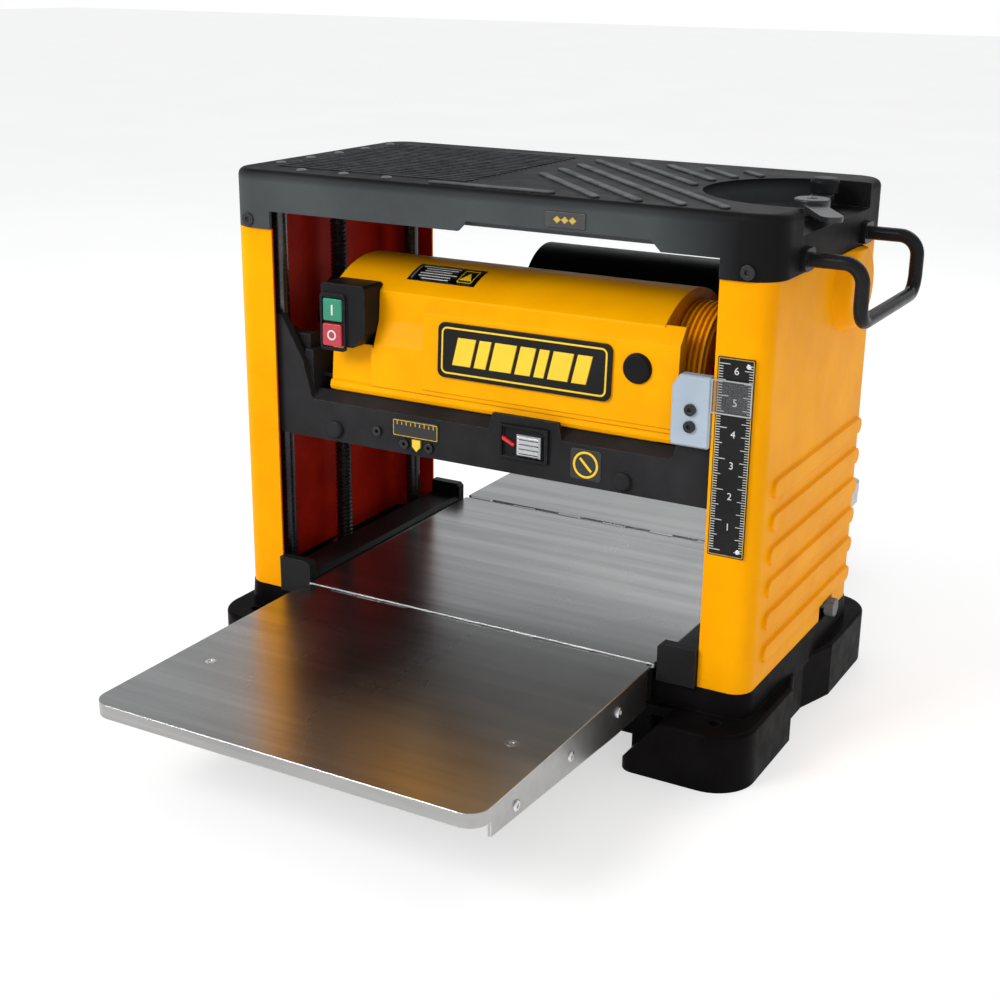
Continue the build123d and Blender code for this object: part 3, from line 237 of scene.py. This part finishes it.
looks = {
    "yellow_housing": surface("yellow_moulded", (0.90, 0.37, 0.0), (1.0, 0.43, 0.0), 0.34,
                              grain=1500, depth=0.00003, edge=(1.0, 0.56, 0.03), wear=0.5, shine=0.05),
    "black_casting": surface("black_coated_casting", (0.003, 0.0026, 0.0027), (0.007, 0.006, 0.0062), 0.42,
                             grain=700, depth=0.00008, edge=(0.05, 0.05, 0.052), wear=0.5, shine=0.02),
    "grey_casting": surface("grey_coated_casting", (0.014, 0.0135, 0.014), (0.026, 0.025, 0.027), 0.42,
                            grain=800, depth=0.00008, edge=(0.12, 0.125, 0.135), wear=0.6, shine=0.08),
    "polished_steel": polished_sheet("polished_sheet_steel", (0.04, 1.0, 1.0)),
    "table_hinge": surface("zinc_plated_hinge", (0.52, 0.52, 0.53), (0.68, 0.68, 0.69), 0.30, 1.0,
                           grain=500, edge=(0.9, 0.9, 0.9), wear=0.8),
    "black_steel": surface("black_oxide_steel", (0.010, 0.010, 0.011), (0.026, 0.026, 0.028), 0.38, 0.4,
                           grain=900, edge=(0.20, 0.20, 0.205), wear=0.7),
    "machined_steel": surface("turned_steel", (0.42, 0.42, 0.43), (0.60, 0.60, 0.61), 0.27, 1.0,
                              grain=300, stretch=(12, 1, 1), edge=(0.8, 0.8, 0.8), wear=0.6),
    "knife_steel": surface("ground_tool_steel", (0.62, 0.63, 0.65), (0.78, 0.79, 0.80), 0.16, 1.0,
                           grain=600, stretch=(1, 14, 14), edge=(0.95, 0.95, 0.95)),
    "grey_top_plate": surface("grey_painted_plate", (0.030, 0.031, 0.034), (0.05, 0.051, 0.055), 0.5,
                              edge=(0.16, 0.16, 0.17)),
    "handle_paint": surface("black_painted_rod", (0.007, 0.007, 0.008), (0.016, 0.016, 0.017), 0.28,
                            grain=500, depth=0.00006, edge=(0.09, 0.09, 0.09), shine=0.12),
    "bright_screw": surface("bright_zinc_screw", (0.62, 0.62, 0.64), (0.80, 0.80, 0.82), 0.22, 1.0,
                            grain=700, edge=(0.95, 0.95, 0.95)),
    "black_plastic": leather_grain("grained_black_plastic", (0.007, 0.007, 0.008),
                                   (0.013, 0.013, 0.014), 0.38, (0.09, 0.09, 0.10)),
    "label_black": surface("printed_label_film", (0.006, 0.006, 0.006), (0.012, 0.012, 0.012), 0.26,
                           grain=1800, depth=0.00001, edge=(0.06, 0.06, 0.06), shine=0.15),
    "bracket_grey": surface("blue_grey_bracket", (0.34, 0.41, 0.49), (0.43, 0.50, 0.58), 0.34,
                            grain=900, depth=0.00005, edge=(0.72, 0.76, 0.80), wear=0.7),
    "clear_lens": clear_plastic("clear_pointer_window", (0.20, 0.22, 0.23)),
    "crank_black": surface("black_crank_casting", (0.012, 0.012, 0.013), (0.024, 0.024, 0.026), 0.34,
                           grain=600, depth=0.00008, edge=(0.22, 0.22, 0.22), wear=0.8),
    "knob_grey": leather_grain("grey_knob_plastic", (0.10, 0.105, 0.11), (0.15, 0.155, 0.16), 0.42,
                               (0.30, 0.30, 0.31)),
    "bronze_bush": surface("oiled_bronze", (0.40, 0.25, 0.10), (0.55, 0.37, 0.16), 0.30, 1.0,
                           edge=(0.75, 0.55, 0.28)),
    "roller_rubber": surface("feed_roller_rubber", (0.018, 0.018, 0.019), (0.032, 0.032, 0.033), 0.62,
                             grain=900, depth=0.00015, edge=(0.07, 0.07, 0.07)),
    "belt_rubber": surface("ribbed_belt_rubber", (0.012, 0.012, 0.012), (0.022, 0.022, 0.022), 0.66,
                           grain=1600, stretch=(4, 1, 1), depth=0.00015, edge=(0.06, 0.06, 0.06)),
    "motor_metal": surface("cast_motor_shell", (0.26, 0.265, 0.28), (0.38, 0.385, 0.40), 0.42, 0.8,
                           grain=500, depth=0.00012, edge=(0.6, 0.6, 0.62)),
    "start_green": surface("green_button", (0.0, 0.20, 0.11), (0.01, 0.30, 0.16), 0.30,
                           edge=(0.15, 0.55, 0.35), coat=0.3),
    "stop_red": surface("red_button", (0.42, 0.012, 0.03), (0.60, 0.02, 0.05), 0.30,
                        edge=(0.85, 0.20, 0.22), coat=0.3),
    "gauge_silver": surface("brushed_gauge_block", (0.45, 0.46, 0.47), (0.62, 0.63, 0.64), 0.34, 0.9,
                            grain=700, stretch=(1, 1, 12), edge=(0.85, 0.85, 0.85), wear=0.8),
    "pointer_yellow": surface("yellow_pointer", (0.80, 0.55, 0.01), (0.92, 0.68, 0.02), 0.34,
                              edge=(1.0, 0.85, 0.2), coat=0.3),
}


def side_panel_finish():
    """Yellow outside, with painted shade on the inner faces of the column: a deep orange-red that stands for
    the yellow in shadow.
    """
    s = Shader("yellow_side_panel")
    normal, mask = s.edges(0.0010)
    outer = s.mix(s.span(s.noise(12, 6.0), 0.36, 0.64), (0.90, 0.34, 0.0), (0.98, 0.40, 0.0))
    outer = s.mix(s.times(mask, s.span(s.noise(160, 4.0), 0.42, 0.62, 0.0, 0.5)), outer, (1.0, 0.60, 0.06))
    # painted shade: the inner faces of the same yellow moulding are painted deep orange-red for the yellow in
    # shadow inside the column
    inner = s.mix(s.span(s.noise(22, 6.0), 0.36, 0.64), (0.52, 0.014, 0.006), (0.70, 0.026, 0.008))
    size = s.add("ShaderNodeVectorMath", operation="ABSOLUTE")
    past = s.add("ShaderNodeVectorMath", operation="SUBTRACT")
    past.inputs[1].default_value = (0.2245, 0.112, 9.0)
    corner = s.add("ShaderNodeVectorMath", operation="MAXIMUM")
    corner.inputs[1].default_value = (0.0, 0.0, 0.0)
    reach = s.add("ShaderNodeVectorMath", operation="LENGTH")
    s.link(s.place, size.inputs[0])
    for first, second in ((size, past), (past, corner), (corner, reach)):
        s.link(first.outputs["Vector"], second.inputs[0])
    # painted shade mask: 1 on the inner faces of the panels
    inner_face_shade = s.span(reach.outputs["Value"], 0.0152, 0.0146)
    s.link(s.mix(inner_face_shade, outer, inner), s.bsdf.inputs["Base Color"])
    s.link(s.span(s.noise(70, 5.0), 0.3, 0.7, 0.29, 0.43), s.bsdf.inputs["Roughness"])
    s.link(s.bump(s.noise(1500, 2.0), 0.00003, normal), s.bsdf.inputs["Normal"])
    s.bsdf.inputs["Specular IOR Level"].default_value = 0.03
    return s.material


dark_rod = surface("dark_ground_rod", (0.055, 0.055, 0.058), (0.11, 0.11, 0.115), 0.25, 0.9,
                   grain=300, stretch=(1, 1, 10), edge=(0.4, 0.4, 0.4))
oiled_screw = surface("oiled_lift_screw", (0.03, 0.029, 0.028), (0.075, 0.072, 0.07), 0.30, 0.8,
                      grain=700, depth=0.00006, edge=(0.45, 0.45, 0.45), wear=0.9, radius=0.0004)
panel = side_panel_finish()
special = {"left_side_panel": panel, "right_side_panel": panel, "guide_posts": dark_rod,
           "top_cover": cover_finish()}
slot_of = {row["node"]: row["material_slot"] for row in frame["record"]["subparts"]}


def paint(obj, material):
    obj.data.materials.clear()
    obj.data.materials.append(material)


for name, obj in nodes.items():
    paint(obj, special.get(name, looks[slot_of[name]]))

ink = {
    "yellow": surface("yellow_print", (0.86, 0.54, 0.01), (0.95, 0.62, 0.02),
                      0.34, grain=1800, depth=0.00001),
    "white": surface("white_print", (0.66, 0.66, 0.64), (0.80, 0.80, 0.78),
                     0.40, grain=1800, depth=0.00001),
    "gold": surface("gold_print", (0.50, 0.34, 0.06), (0.64, 0.46, 0.10), 0.34,
                    0.3, grain=1500, depth=0.00001),
    # painted highlight: a pale grey that stands for the bright light along the clear window's edges
    "lens_edge_highlight": surface("painted_highlight_lens_edge", (0.34, 0.35, 0.36), (0.46, 0.47, 0.48),
                     0.40, grain=1500, depth=0.00002),
    "red": surface("red_enamel", (0.62, 0.01, 0.01), (0.75, 0.02, 0.015), 0.28,
                   grain=1500, depth=0.00001),
    "film": surface("black_film", (0.005, 0.005, 0.005), (0.011, 0.011, 0.011),
                    0.30, grain=1800, depth=0.00001),
    "plate": surface("dark_grey_plate", (0.05, 0.05, 0.05), (0.085, 0.085, 0.085), 0.32, 0.5, grain=900,
                     stretch=(1, 12, 12), edge=(0.3, 0.3, 0.3)),
}


# ---------------------------------------------------------------- faces and lines of the CAD, in mm
cover_front = -130
cover_deck = 438.2
column_front = -128.5
carriage_front = -122
start_face, stop_face = -126.6, -127.8
gauge_face = -126.2
switch_x, start_z, stop_z = -141, 328, 307
scale_x, scale_z = 217, 257
scale_left, scale_right, scale_low = 203.8, 230.2, 185
inch = 24
badge_x, badge_z = 76, 421.5
flange_x, flange_screw_z = 166.5, 68
flange_screw_reach = (200, 280, 360)
table_top = 83
rivet_x, rivet_reach = 135, 309.5
screw_x, thread_lead = 222, 4


# ---------------------------------------------------------------- shape helpers
def facing(origin, across, up):
    """Local axes of a face: across, up and its outward normal. Origin in mm."""
    a = Vector(across).normalized()
    n = a.cross(Vector(up)).normalized()
    u = n.cross(a)
    o = Vector(origin) / 1000
    return Matrix(((a.x, u.x, n.x, o.x), (a.y, u.y, n.y, o.y), (a.z, u.z, n.z, o.z), (0, 0, 0, 1)))


def front(y):
    return facing((0, y, 0), (1, 0, 0), (0, 0, 1))


def top(z):
    return facing((0, 0, z), (1, 0, 0), (0, 1, 0))


def rounded(cx, cy, width, height, radius, steps=5):
    """Outline of a rounded rectangle, in mm."""
    points = []
    for i, (sx, sy) in enumerate(((1, 1), (-1, 1), (-1, -1), (1, -1))):
        for k in range(steps + 1):
            angle = math.pi / 2 * (i + k / steps)
            points.append((cx + sx * (width / 2 - radius) + radius * math.cos(angle),
                           cy + sy * (height / 2 - radius) + radius * math.sin(angle)))
    return points


def circle(cx, cy, radius, steps=32):
    return [(cx + radius * math.cos(2 * math.pi * k / steps), cy + radius * math.sin(2 * math.pi * k / steps))
            for k in range(steps)]


def prism(bm, outline, place, low, high, inset=0.0):
    """Solid between two heights over an outline. The top is drawn in by inset. All in mm."""
    cx = sum(p[0] for p in outline) / len(outline)
    cy = sum(p[1] for p in outline) / len(outline)
    rings = []
    levels = [(low, 0.0), (high - inset, 0.0), (high, inset)] if inset else [(low, 0.0), (high, 0.0)]
    for height, draw in levels:
        ring = []
        for x, y in outline:
            reach = math.hypot(x - cx, y - cy) or 1.0
            keep = 1 - draw / reach
            spot = Vector((cx + (x - cx) * keep, cy + (y - cy) * keep, height))
            ring.append(bm.verts.new(place @ (spot / 1000)))
        rings.append(ring)
    count = len(outline)
    for lower, upper in zip(rings, rings[1:]):
        for k in range(count):
            bm.faces.new((lower[k], lower[(k + 1) % count], upper[(k + 1) % count], upper[k]))
    bm.faces.new(rings[0][::-1])
    bm.faces.new(rings[-1])


def band(bm, outer, inner, place, low, high):
    """Solid frame between two outlines with the same number of points."""
    count = len(outer)
    rings = [[bm.verts.new(place @ (Vector((x, y, h)) / 1000)) for x, y in line]
             for line, h in ((outer, low), (outer, high), (inner, high), (inner, low))]
    for a, b in zip(rings, rings[1:] + rings[:1]):
        for k in range(count):
            bm.faces.new((a[k], a[(k + 1) % count], b[(k + 1) % count], b[k]))


def turned(bm, profile, place, cx, cy, steps=32):
    """Solid of revolution about the face's normal: profile is (radius, height) in mm, from axis to axis."""
    rings = []
    for radius, height in profile:
        if radius < 1e-6:
            rings.append([bm.verts.new(place @ (Vector((cx, cy, height)) / 1000))])
        else:
            rings.append([bm.verts.new(place @ (Vector((x, y, height)) / 1000))
                          for x, y in circle(cx, cy, radius, steps)])
    for a, b in zip(rings, rings[1:]):
        for k in range(steps):
            if len(a) == 1:
                bm.faces.new((a[0], b[k], b[(k + 1) % steps]))
            elif len(b) == 1:
                bm.faces.new((a[(k + 1) % steps], a[k], b[0]))
            else:
                bm.faces.new((a[k], a[(k + 1) % steps], b[(k + 1) % steps], b[k]))


def piece(name, bm, material, body, smooth=35):
    bmesh.ops.recalc_face_normals(bm, faces=bm.faces)
    mesh = bpy.data.meshes.new(name)
    bm.to_mesh(mesh)
    bm.free()
    obj = bpy.data.objects.new(name, mesh)
    bpy.context.scene.collection.objects.link(obj)
    mesh.materials.append(material)
    mesh.shade_smooth()
    mesh.set_sharp_from_angle(angle=math.radians(smooth))
    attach(obj, body)
    return obj


def writing(name, text, size, place, x, y, height, material, body):
    """Generic figures printed on a face. Size and place in mm."""
    curve = bpy.data.curves.new(name, "FONT")
    curve.body = text
    curve.size = size / 1000
    curve.extrude = height / 2000
    curve.align_x = "CENTER"
    curve.align_y = "CENTER"
    text_obj = bpy.data.objects.new(name + "_curve", curve)
    bpy.context.scene.collection.objects.link(text_obj)
    mesh = bpy.data.meshes.new_from_object(text_obj.evaluated_get(bpy.context.evaluated_depsgraph_get()))
    bpy.data.objects.remove(text_obj)
    mesh.transform(place @ Matrix.Translation(Vector((x, y, height / 2)) / 1000))
    mesh.materials.clear()
    mesh.materials.append(material)
    obj = bpy.data.objects.new(name, mesh)
    bpy.context.scene.collection.objects.link(obj)
    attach(obj, body)
    return obj


# ---------------------------------------------------------------- nameplate and labels
plate = facing((32, -113.5, 304.5), (1, 0, 0), (0, 2.2, 45))
bm = bmesh.new()
band(bm, rounded(0, 0, 149, 38.5, 5), rounded(0, 0, 146, 35.5, 3.6), plate, -0.3, 0.35)
piece("nameplate_border", bm, ink["yellow"], "carriage")

bm = bmesh.new()
cursor = -64.0
for width in (17, 11, 20, 14, 9, 18, 13):
    lean = 5
    outline = [(cursor, -11.5), (cursor + width, -11.5), (cursor + width + lean, 11.5), (cursor + lean, 11.5)]
    prism(bm, outline, plate, -0.3, 0.7, 0.4)
    cursor += width + 3.2
piece("nameplate_bars", bm, ink["yellow"], "carriage")

crown_y, crown_z, crown_radius = -45.09, 272.48, 90.78
label_x, label_angle = -60, -0.347


def over_crown(bm):
    """Lays flat geometry, in mm round its own origin, over the motor cover's crown."""
    long_edges = [e for e in bm.edges if e.calc_length() > 0.004]
    bmesh.ops.subdivide_edges(bm, edges=long_edges, cuts=5, use_grid_fill=True)
    for vert in bm.verts:
        x, v, h = vert.co * 1000
        turn = label_angle + v / crown_radius
        reach = crown_radius + h
        vert.co = Vector((label_x + x, crown_y + reach * math.sin(turn), crown_z + reach * math.cos(turn)))
        vert.co /= 1000


bm = bmesh.new()
for k in range(13):
    low_edge = 2 * k - 13
    prism(bm, [(-32, low_edge), (32, low_edge), (32, low_edge + 2), (-32, low_edge + 2)], top(0), -0.5, 0.4)
bmesh.ops.remove_doubles(bm, verts=bm.verts, dist=0.000001)
over_crown(bm)
piece("rating_label", bm, ink["film"], "carriage")
bm = bmesh.new()
for k in range(6):
    prism(bm, rounded(-9 + 2 * (k % 2), 9.4 - 3.7 * k, 36 - 5 * (k % 3), 1.1, 0.4, 2), top(0), 0.3, 0.55)
band(bm, rounded(-29, 0, 0.9, 20, 0.3, 2), rounded(-29, 0, 0.5, 19.6, 0.2, 2), top(0), 0.3, 0.55)
over_crown(bm)
piece("rating_lines", bm, ink["white"], "carriage")
bm = bmesh.new()
band(bm, rounded(21, 0, 14, 19, 1.2, 2), rounded(21, 0, 12.4, 17.4, 0.8, 2), top(0), 0.3, 0.55)
prism(bm, [(15.5, -6), (26.5, -6), (21, 5)], top(0), 0.3, 0.7)
over_crown(bm)
piece("rating_box", bm, ink["yellow"], "carriage")

beam = front(cover_front)
bm = bmesh.new()
prism(bm, rounded(badge_x, badge_z, 34, 12, 1.2), beam, -0.3, 1.0, 0.5)
piece("cover_badge", bm, ink["plate"], "stand")
bm = bmesh.new()
for dx in (-6.5, 0, 6.5):
    x = badge_x + dx
    diamond = [(x - 3.4, badge_z), (x, badge_z - 2.9), (x + 3.4, badge_z), (x, badge_z + 2.9)]
    prism(bm, diamond, beam, 0.8, 1.35, 0.25)
piece("cover_badge_mark", bm, ink["gold"], "stand")

studs = [(-225, y) for y in (-78, -35, 8, 50, 92)] + [(x, -110) for x in (-180, -138, -96)]
bm = bmesh.new()
for x, y in studs:
    turned(bm, [(0, -0.6), (4.4, -0.6), (4.4, 0.3), (3.6, 1.0), (2.2, 1.35), (0, 1.45)],
           top(cover_deck), x, y, 24)
piece("cover_studs", bm, looks["knob_grey"], "stand")

low, high = (Vector(corner) * 1000 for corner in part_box("pointer_lens"))
lens_x, lens_z = (low.x + high.x) / 2, (low.z + high.z) / 2
wide, tall = high.x - low.x, high.z - low.z
# painted highlight: a pale band round the pointer window, for the light caught on its edges
bm = bmesh.new()
band(bm, rounded(lens_x, lens_z, wide, tall, 1.2), rounded(lens_x, lens_z, wide - 2.0, tall - 2.0, 0.6),
     front(low.y), -0.4, 0.12)
piece("lens_highlight_rim", bm, ink["lens_edge_highlight"], "carriage")

# ---------------------------------------------------------------- height scale
scale = front(column_front)
bm = bmesh.new()
band(bm, rounded(scale_x, scale_z, 27.6, 152.4, 1), rounded(scale_x, scale_z, 26.4, 151.2, 0.6),
     scale, -0.1, 0.22)
piece("scale_border", bm, ink["gold"], "stand")
bm = bmesh.new()
for k in range(0, 145, 2):
    z = scale_low + k
    length = 8.5 if k % inch == 0 else 5.5 if k % (inch // 2) == 0 else 3.2
    metric = 6.5 if k % 10 == 0 else 3.0
    inch_tick = (scale_left, scale_left + length, 0.28)
    metric_tick = (scale_right - metric, scale_right, 0.22)
    for start, stop, half in (inch_tick, metric_tick):
        tick = [(start, z - half), (stop, z - half), (stop, z + half), (start, z + half)]
        prism(bm, tick, scale, -0.1, 0.24)
piece("scale_ticks", bm, ink["white"], "stand")
for k in range(1, 7):
    writing(f"scale_figure_{k}", str(k), 8, scale, scale_x + 0.5, scale_low - 5 + inch * k, 0.3,
            ink["white"], "stand")

# ---------------------------------------------------------------- switch marks
bm = bmesh.new()
prism(bm, rounded(switch_x, start_z, 1.8, 9, 0.5, 2), front(start_face), -0.2, 0.35, 0.1)
piece("start_mark", bm, ink["white"], "start_button")
bm = bmesh.new()
band(bm, circle(switch_x, stop_z, 4.4), circle(switch_x, stop_z, 3.0), front(stop_face), -0.2, 0.35)
piece("stop_mark", bm, ink["white"], "stop_button")

# ---------------------------------------------------------------- carriage front
face = front(carriage_front)
bm = bmesh.new()
prism(bm, rounded(-62.5, 235.2, 45, 15.5, 1.5), face, -0.3, 0.9, 0.4)
piece("indicator_window", bm, ink["film"], "carriage")
bm = bmesh.new()
for k in range(9):
    x = -80 + 4.4 * k
    tip = 241.5 - (k % 2)
    prism(bm, [(x - 0.35, 238), (x + 0.35, 238), (x + 0.35, tip), (x - 0.35, tip)], face, 0.8, 1.05)
band(bm, rounded(-62.5, 235.2, 43, 13.5, 1, 2), rounded(-62.5, 235.2, 42, 12.5, 0.7, 2), face, 0.8, 1.05)
piece("indicator_marks", bm, ink["yellow"], "carriage")

bm = bmesh.new()
prism(bm, rounded(95, 231, 27, 25, 2), face, -0.3, 0.5, 0.2)
piece("ring_label", bm, ink["film"], "carriage")
bm = bmesh.new()
band(bm, circle(95, 231, 11), circle(95, 231, 9.1), face, 0.3, 0.75)
prism(bm, [(89.2, 235.4), (90.7, 236.9), (100.8, 226.6), (99.3, 225.1)], face, 0.3, 0.75)
piece("ring_mark", bm, ink["yellow"], "carriage")

gauge = front(gauge_face)
bm = bmesh.new()
for k in range(4):
    z = 232.2 + 3.9 * k
    prism(bm, rounded(46, z, 17.5, 0.7, 0.3, 2), gauge, -0.3, 0.22)
piece("gauge_lines", bm, ink["film"], "gauge_plate")
bm = bmesh.new()
prism(bm, [(19.5, 241.4), (31, 236.2), (32.5, 238.2), (20.5, 244.2)], front(-122.2), -0.2, 2.2, 0.5)
piece("gauge_pointer", bm, ink["red"], "carriage")

# ---------------------------------------------------------------- fasteners
def screw_head(bm, place, x, y, radius, height, low=-0.4):
    """Domed head with a round socket."""
    socket = radius * 0.42
    turned(bm, [(radius, low), (radius, height * 0.45), (radius * 0.93, height * 0.75),
                (radius * 0.72, height), (socket * 1.12, height), (socket, height * 0.9),
                (socket, height * 0.3), (0, height * 0.24)],
           place, x, y, 24)


for table, toward in (("infeed", -1), ("outfeed", 1)):
    bm = bmesh.new()
    for reach in flange_screw_reach:
        for end in (-1, 1):
            place = facing((end * flange_x, 0, 0), (0, end, 0), (0, 0, 1))
            screw_head(bm, place, end * toward * reach, flange_screw_z, 4.2, 1.6)
    piece(table + "_flange_screws", bm, looks["bright_screw"], table + "_table")

# ---------------------------------------------------------------- lift screws with their thread
def lift_screw(name, node, body, x):
    """Threaded spindle and its chain wheel, standing for a CAD lift screw."""
    low, high = (corner[2] * 1000 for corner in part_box(node))
    bm = bmesh.new()
    turns, around = 6, 28
    rings = []
    count = int((high - low) / thread_lead * turns)
    for k in range(count + 1):
        z = low + (high - low) * k / count
        plain = z < low + 4 or z > 388
        ring = []
        for j in range(around):
            phase = (z / thread_lead - j / around) % 1.0
            tooth = min(1.0, max(0.0, 2.6 * abs(phase - 0.5) - 0.15))
            radius = 7.7 if plain else 6.5 + 1.35 * tooth
            angle = 2 * math.pi * j / around
            spot = Vector((x + radius * math.cos(angle), radius * math.sin(angle), z))
            ring.append(bm.verts.new(spot / 1000))
        rings.append(ring)
    for a, b in zip(rings, rings[1:]):
        for j in range(around):
            bm.faces.new((a[j], a[(j + 1) % around], b[(j + 1) % around], b[j]))
    bm.faces.new(rings[0][::-1])
    bm.faces.new(rings[-1])
    wheel = []
    for k in range(60):
        angle = 2 * math.pi * k / 60
        reach = 13.9 if k % 6 in (2, 3, 4) else 12.0
        wheel.append((x + reach * math.cos(angle), reach * math.sin(angle)))
    prism(bm, wheel, top(0), 394.1, 398.9, 0.5)
    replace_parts(piece(name, bm, oiled_screw, body, 30), node)


lift_screw("right_lift_screw", "right_leadscrew", "crank", screw_x)
lift_screw("left_lift_screw", "left_leadscrew", "left_screw", -screw_x)

for table, toward in (("infeed", -1), ("outfeed", 1)):
    bm = bmesh.new()
    for x in (-rivet_x, rivet_x):
        turned(bm, [(0, -2.2), (2.5, -2.2), (4.4, -0.25), (4.3, -0.05), (2.2, 0.0), (1.9, -0.5), (0, -0.5)],
               top(table_top), x, toward * rivet_reach, 24)
    piece(table + "_rivets", bm, looks["bright_screw"], table + "_table")
bm = bmesh.new()
for z in (328.5, 185.5):
    screw_head(bm, scale, 226.5, z, 1.9, 0.3, -0.1)
piece("scale_screws", bm, looks["bright_screw"], "stand")

# ---------------------------------------------------------------- floor, light, camera
floor = bpy.data.meshes.new("floor")
floor_bm = bmesh.new()
bmesh.ops.create_grid(floor_bm, x_segments=8, y_segments=8, size=14)
floor_bm.to_mesh(floor)
floor_bm.free()
floor_obj = bpy.data.objects.new("floor", floor)
bpy.context.scene.collection.objects.link(floor_obj)
paper = Shader("pale_floor")
mottle = paper.span(paper.noise(2, 3.0), 0.4, 0.6)
paper.link(paper.mix(mottle, (0.50, 0.50, 0.50), (0.52, 0.52, 0.52)), paper.bsdf.inputs["Base Color"])
paper.bsdf.inputs["Roughness"].default_value = 0.8
paper.bsdf.inputs["Specular IOR Level"].default_value = 0.1
paper.bsdf.inputs["Emission Color"].default_value = (1, 1, 1, 1)
paper.bsdf.inputs["Emission Strength"].default_value = 0.56
floor.materials.append(paper.material)


def softbox(name, at, aim, width, height, power):
    light = bpy.data.lights.new(name, "AREA")
    light.shape = "RECTANGLE"
    light.size = width
    light.size_y = height
    light.energy = power
    obj = bpy.data.objects.new(name, light)
    bpy.context.scene.collection.objects.link(obj)
    obj.location = at
    obj.rotation_mode = "QUATERNION"
    obj.rotation_quaternion = (Vector(aim) - Vector(at)).to_track_quat("-Z", "Y")


softbox("key", (-1.1, -2.0, 1.7), (0, 0, 0.25), 1.1, 1.1, 40)
softbox("fill", (2.2, -1.3, 1.2), (0, 0, 0.25), 1.2, 1.2, 2)
softbox("overhead", (0.1, 1.5, 1.6), (0, 0, 0.4), 1.8, 0.7, 12)

scene = bpy.context.scene
world = bpy.data.worlds.new("studio")
scene.world = world
world.use_nodes = True
sky = world.node_tree
background = sky.nodes["Background"]
ray = sky.nodes.new("ShaderNodeLightPath")
heading = sky.nodes.new("ShaderNodeTexCoord")
height = sky.nodes.new("ShaderNodeSeparateXYZ")
sky.links.new(heading.outputs["Generated"], height.inputs["Vector"])
shade = sky.nodes.new("ShaderNodeValToRGB")
shade.color_ramp.elements[0].position = 0.12
shade.color_ramp.elements[0].color = (0.42, 0.43, 0.44, 1)
shade.color_ramp.elements[1].position = 0.33
shade.color_ramp.elements[1].color = (0.78, 0.80, 0.82, 1)
overhead_dim = shade.color_ramp.elements.new(0.6)
overhead_dim.color = (0.34, 0.35, 0.36, 1)
sky.links.new(height.outputs["Z"], shade.inputs["Fac"])
soft = sky.nodes.new("ShaderNodeMix")
soft.data_type = "RGBA"
soft.inputs["A"].default_value = (0.66, 0.665, 0.67, 1)
sky.links.new(ray.outputs["Is Glossy Ray"], soft.inputs["Factor"])
sky.links.new(shade.outputs["Color"], soft.inputs["B"])
seen = sky.nodes.new("ShaderNodeMix")
seen.data_type = "RGBA"
seen.inputs["B"].default_value = (1, 1, 1, 1)
sky.links.new(soft.outputs["Result"], seen.inputs["A"])
sky.links.new(ray.outputs["Is Camera Ray"], seen.inputs["Factor"])
sky.links.new(seen.outputs["Result"], background.inputs["Color"])
background.inputs["Strength"].default_value = 1.0

azimuth = math.radians(29.24)
pitch = math.radians(18.94)
roll = math.radians(-0.64)
camera = bpy.data.cameras.new("camera")
camera.sensor_width = 36
camera.lens = 36 * 1.572
camera_obj = bpy.data.objects.new("camera", camera)
scene.collection.objects.link(camera_obj)
ahead = Vector((-math.sin(azimuth) * math.cos(pitch), math.cos(azimuth) * math.cos(pitch), -math.sin(pitch)))
right = Vector((math.cos(azimuth), math.sin(azimuth), 0))
down = ahead.cross(right)
rolled_right = right * math.cos(roll) + down * math.sin(roll)
rolled_down = down * math.cos(roll) - right * math.sin(roll)
turn = Matrix((rolled_right, -rolled_down, -ahead)).transposed()
camera_obj.matrix_world = Matrix.Translation((0.610, -1.179, 0.604)) @ turn.to_4x4()
scene.camera = camera_obj
scene.view_settings.view_transform = "Standard"
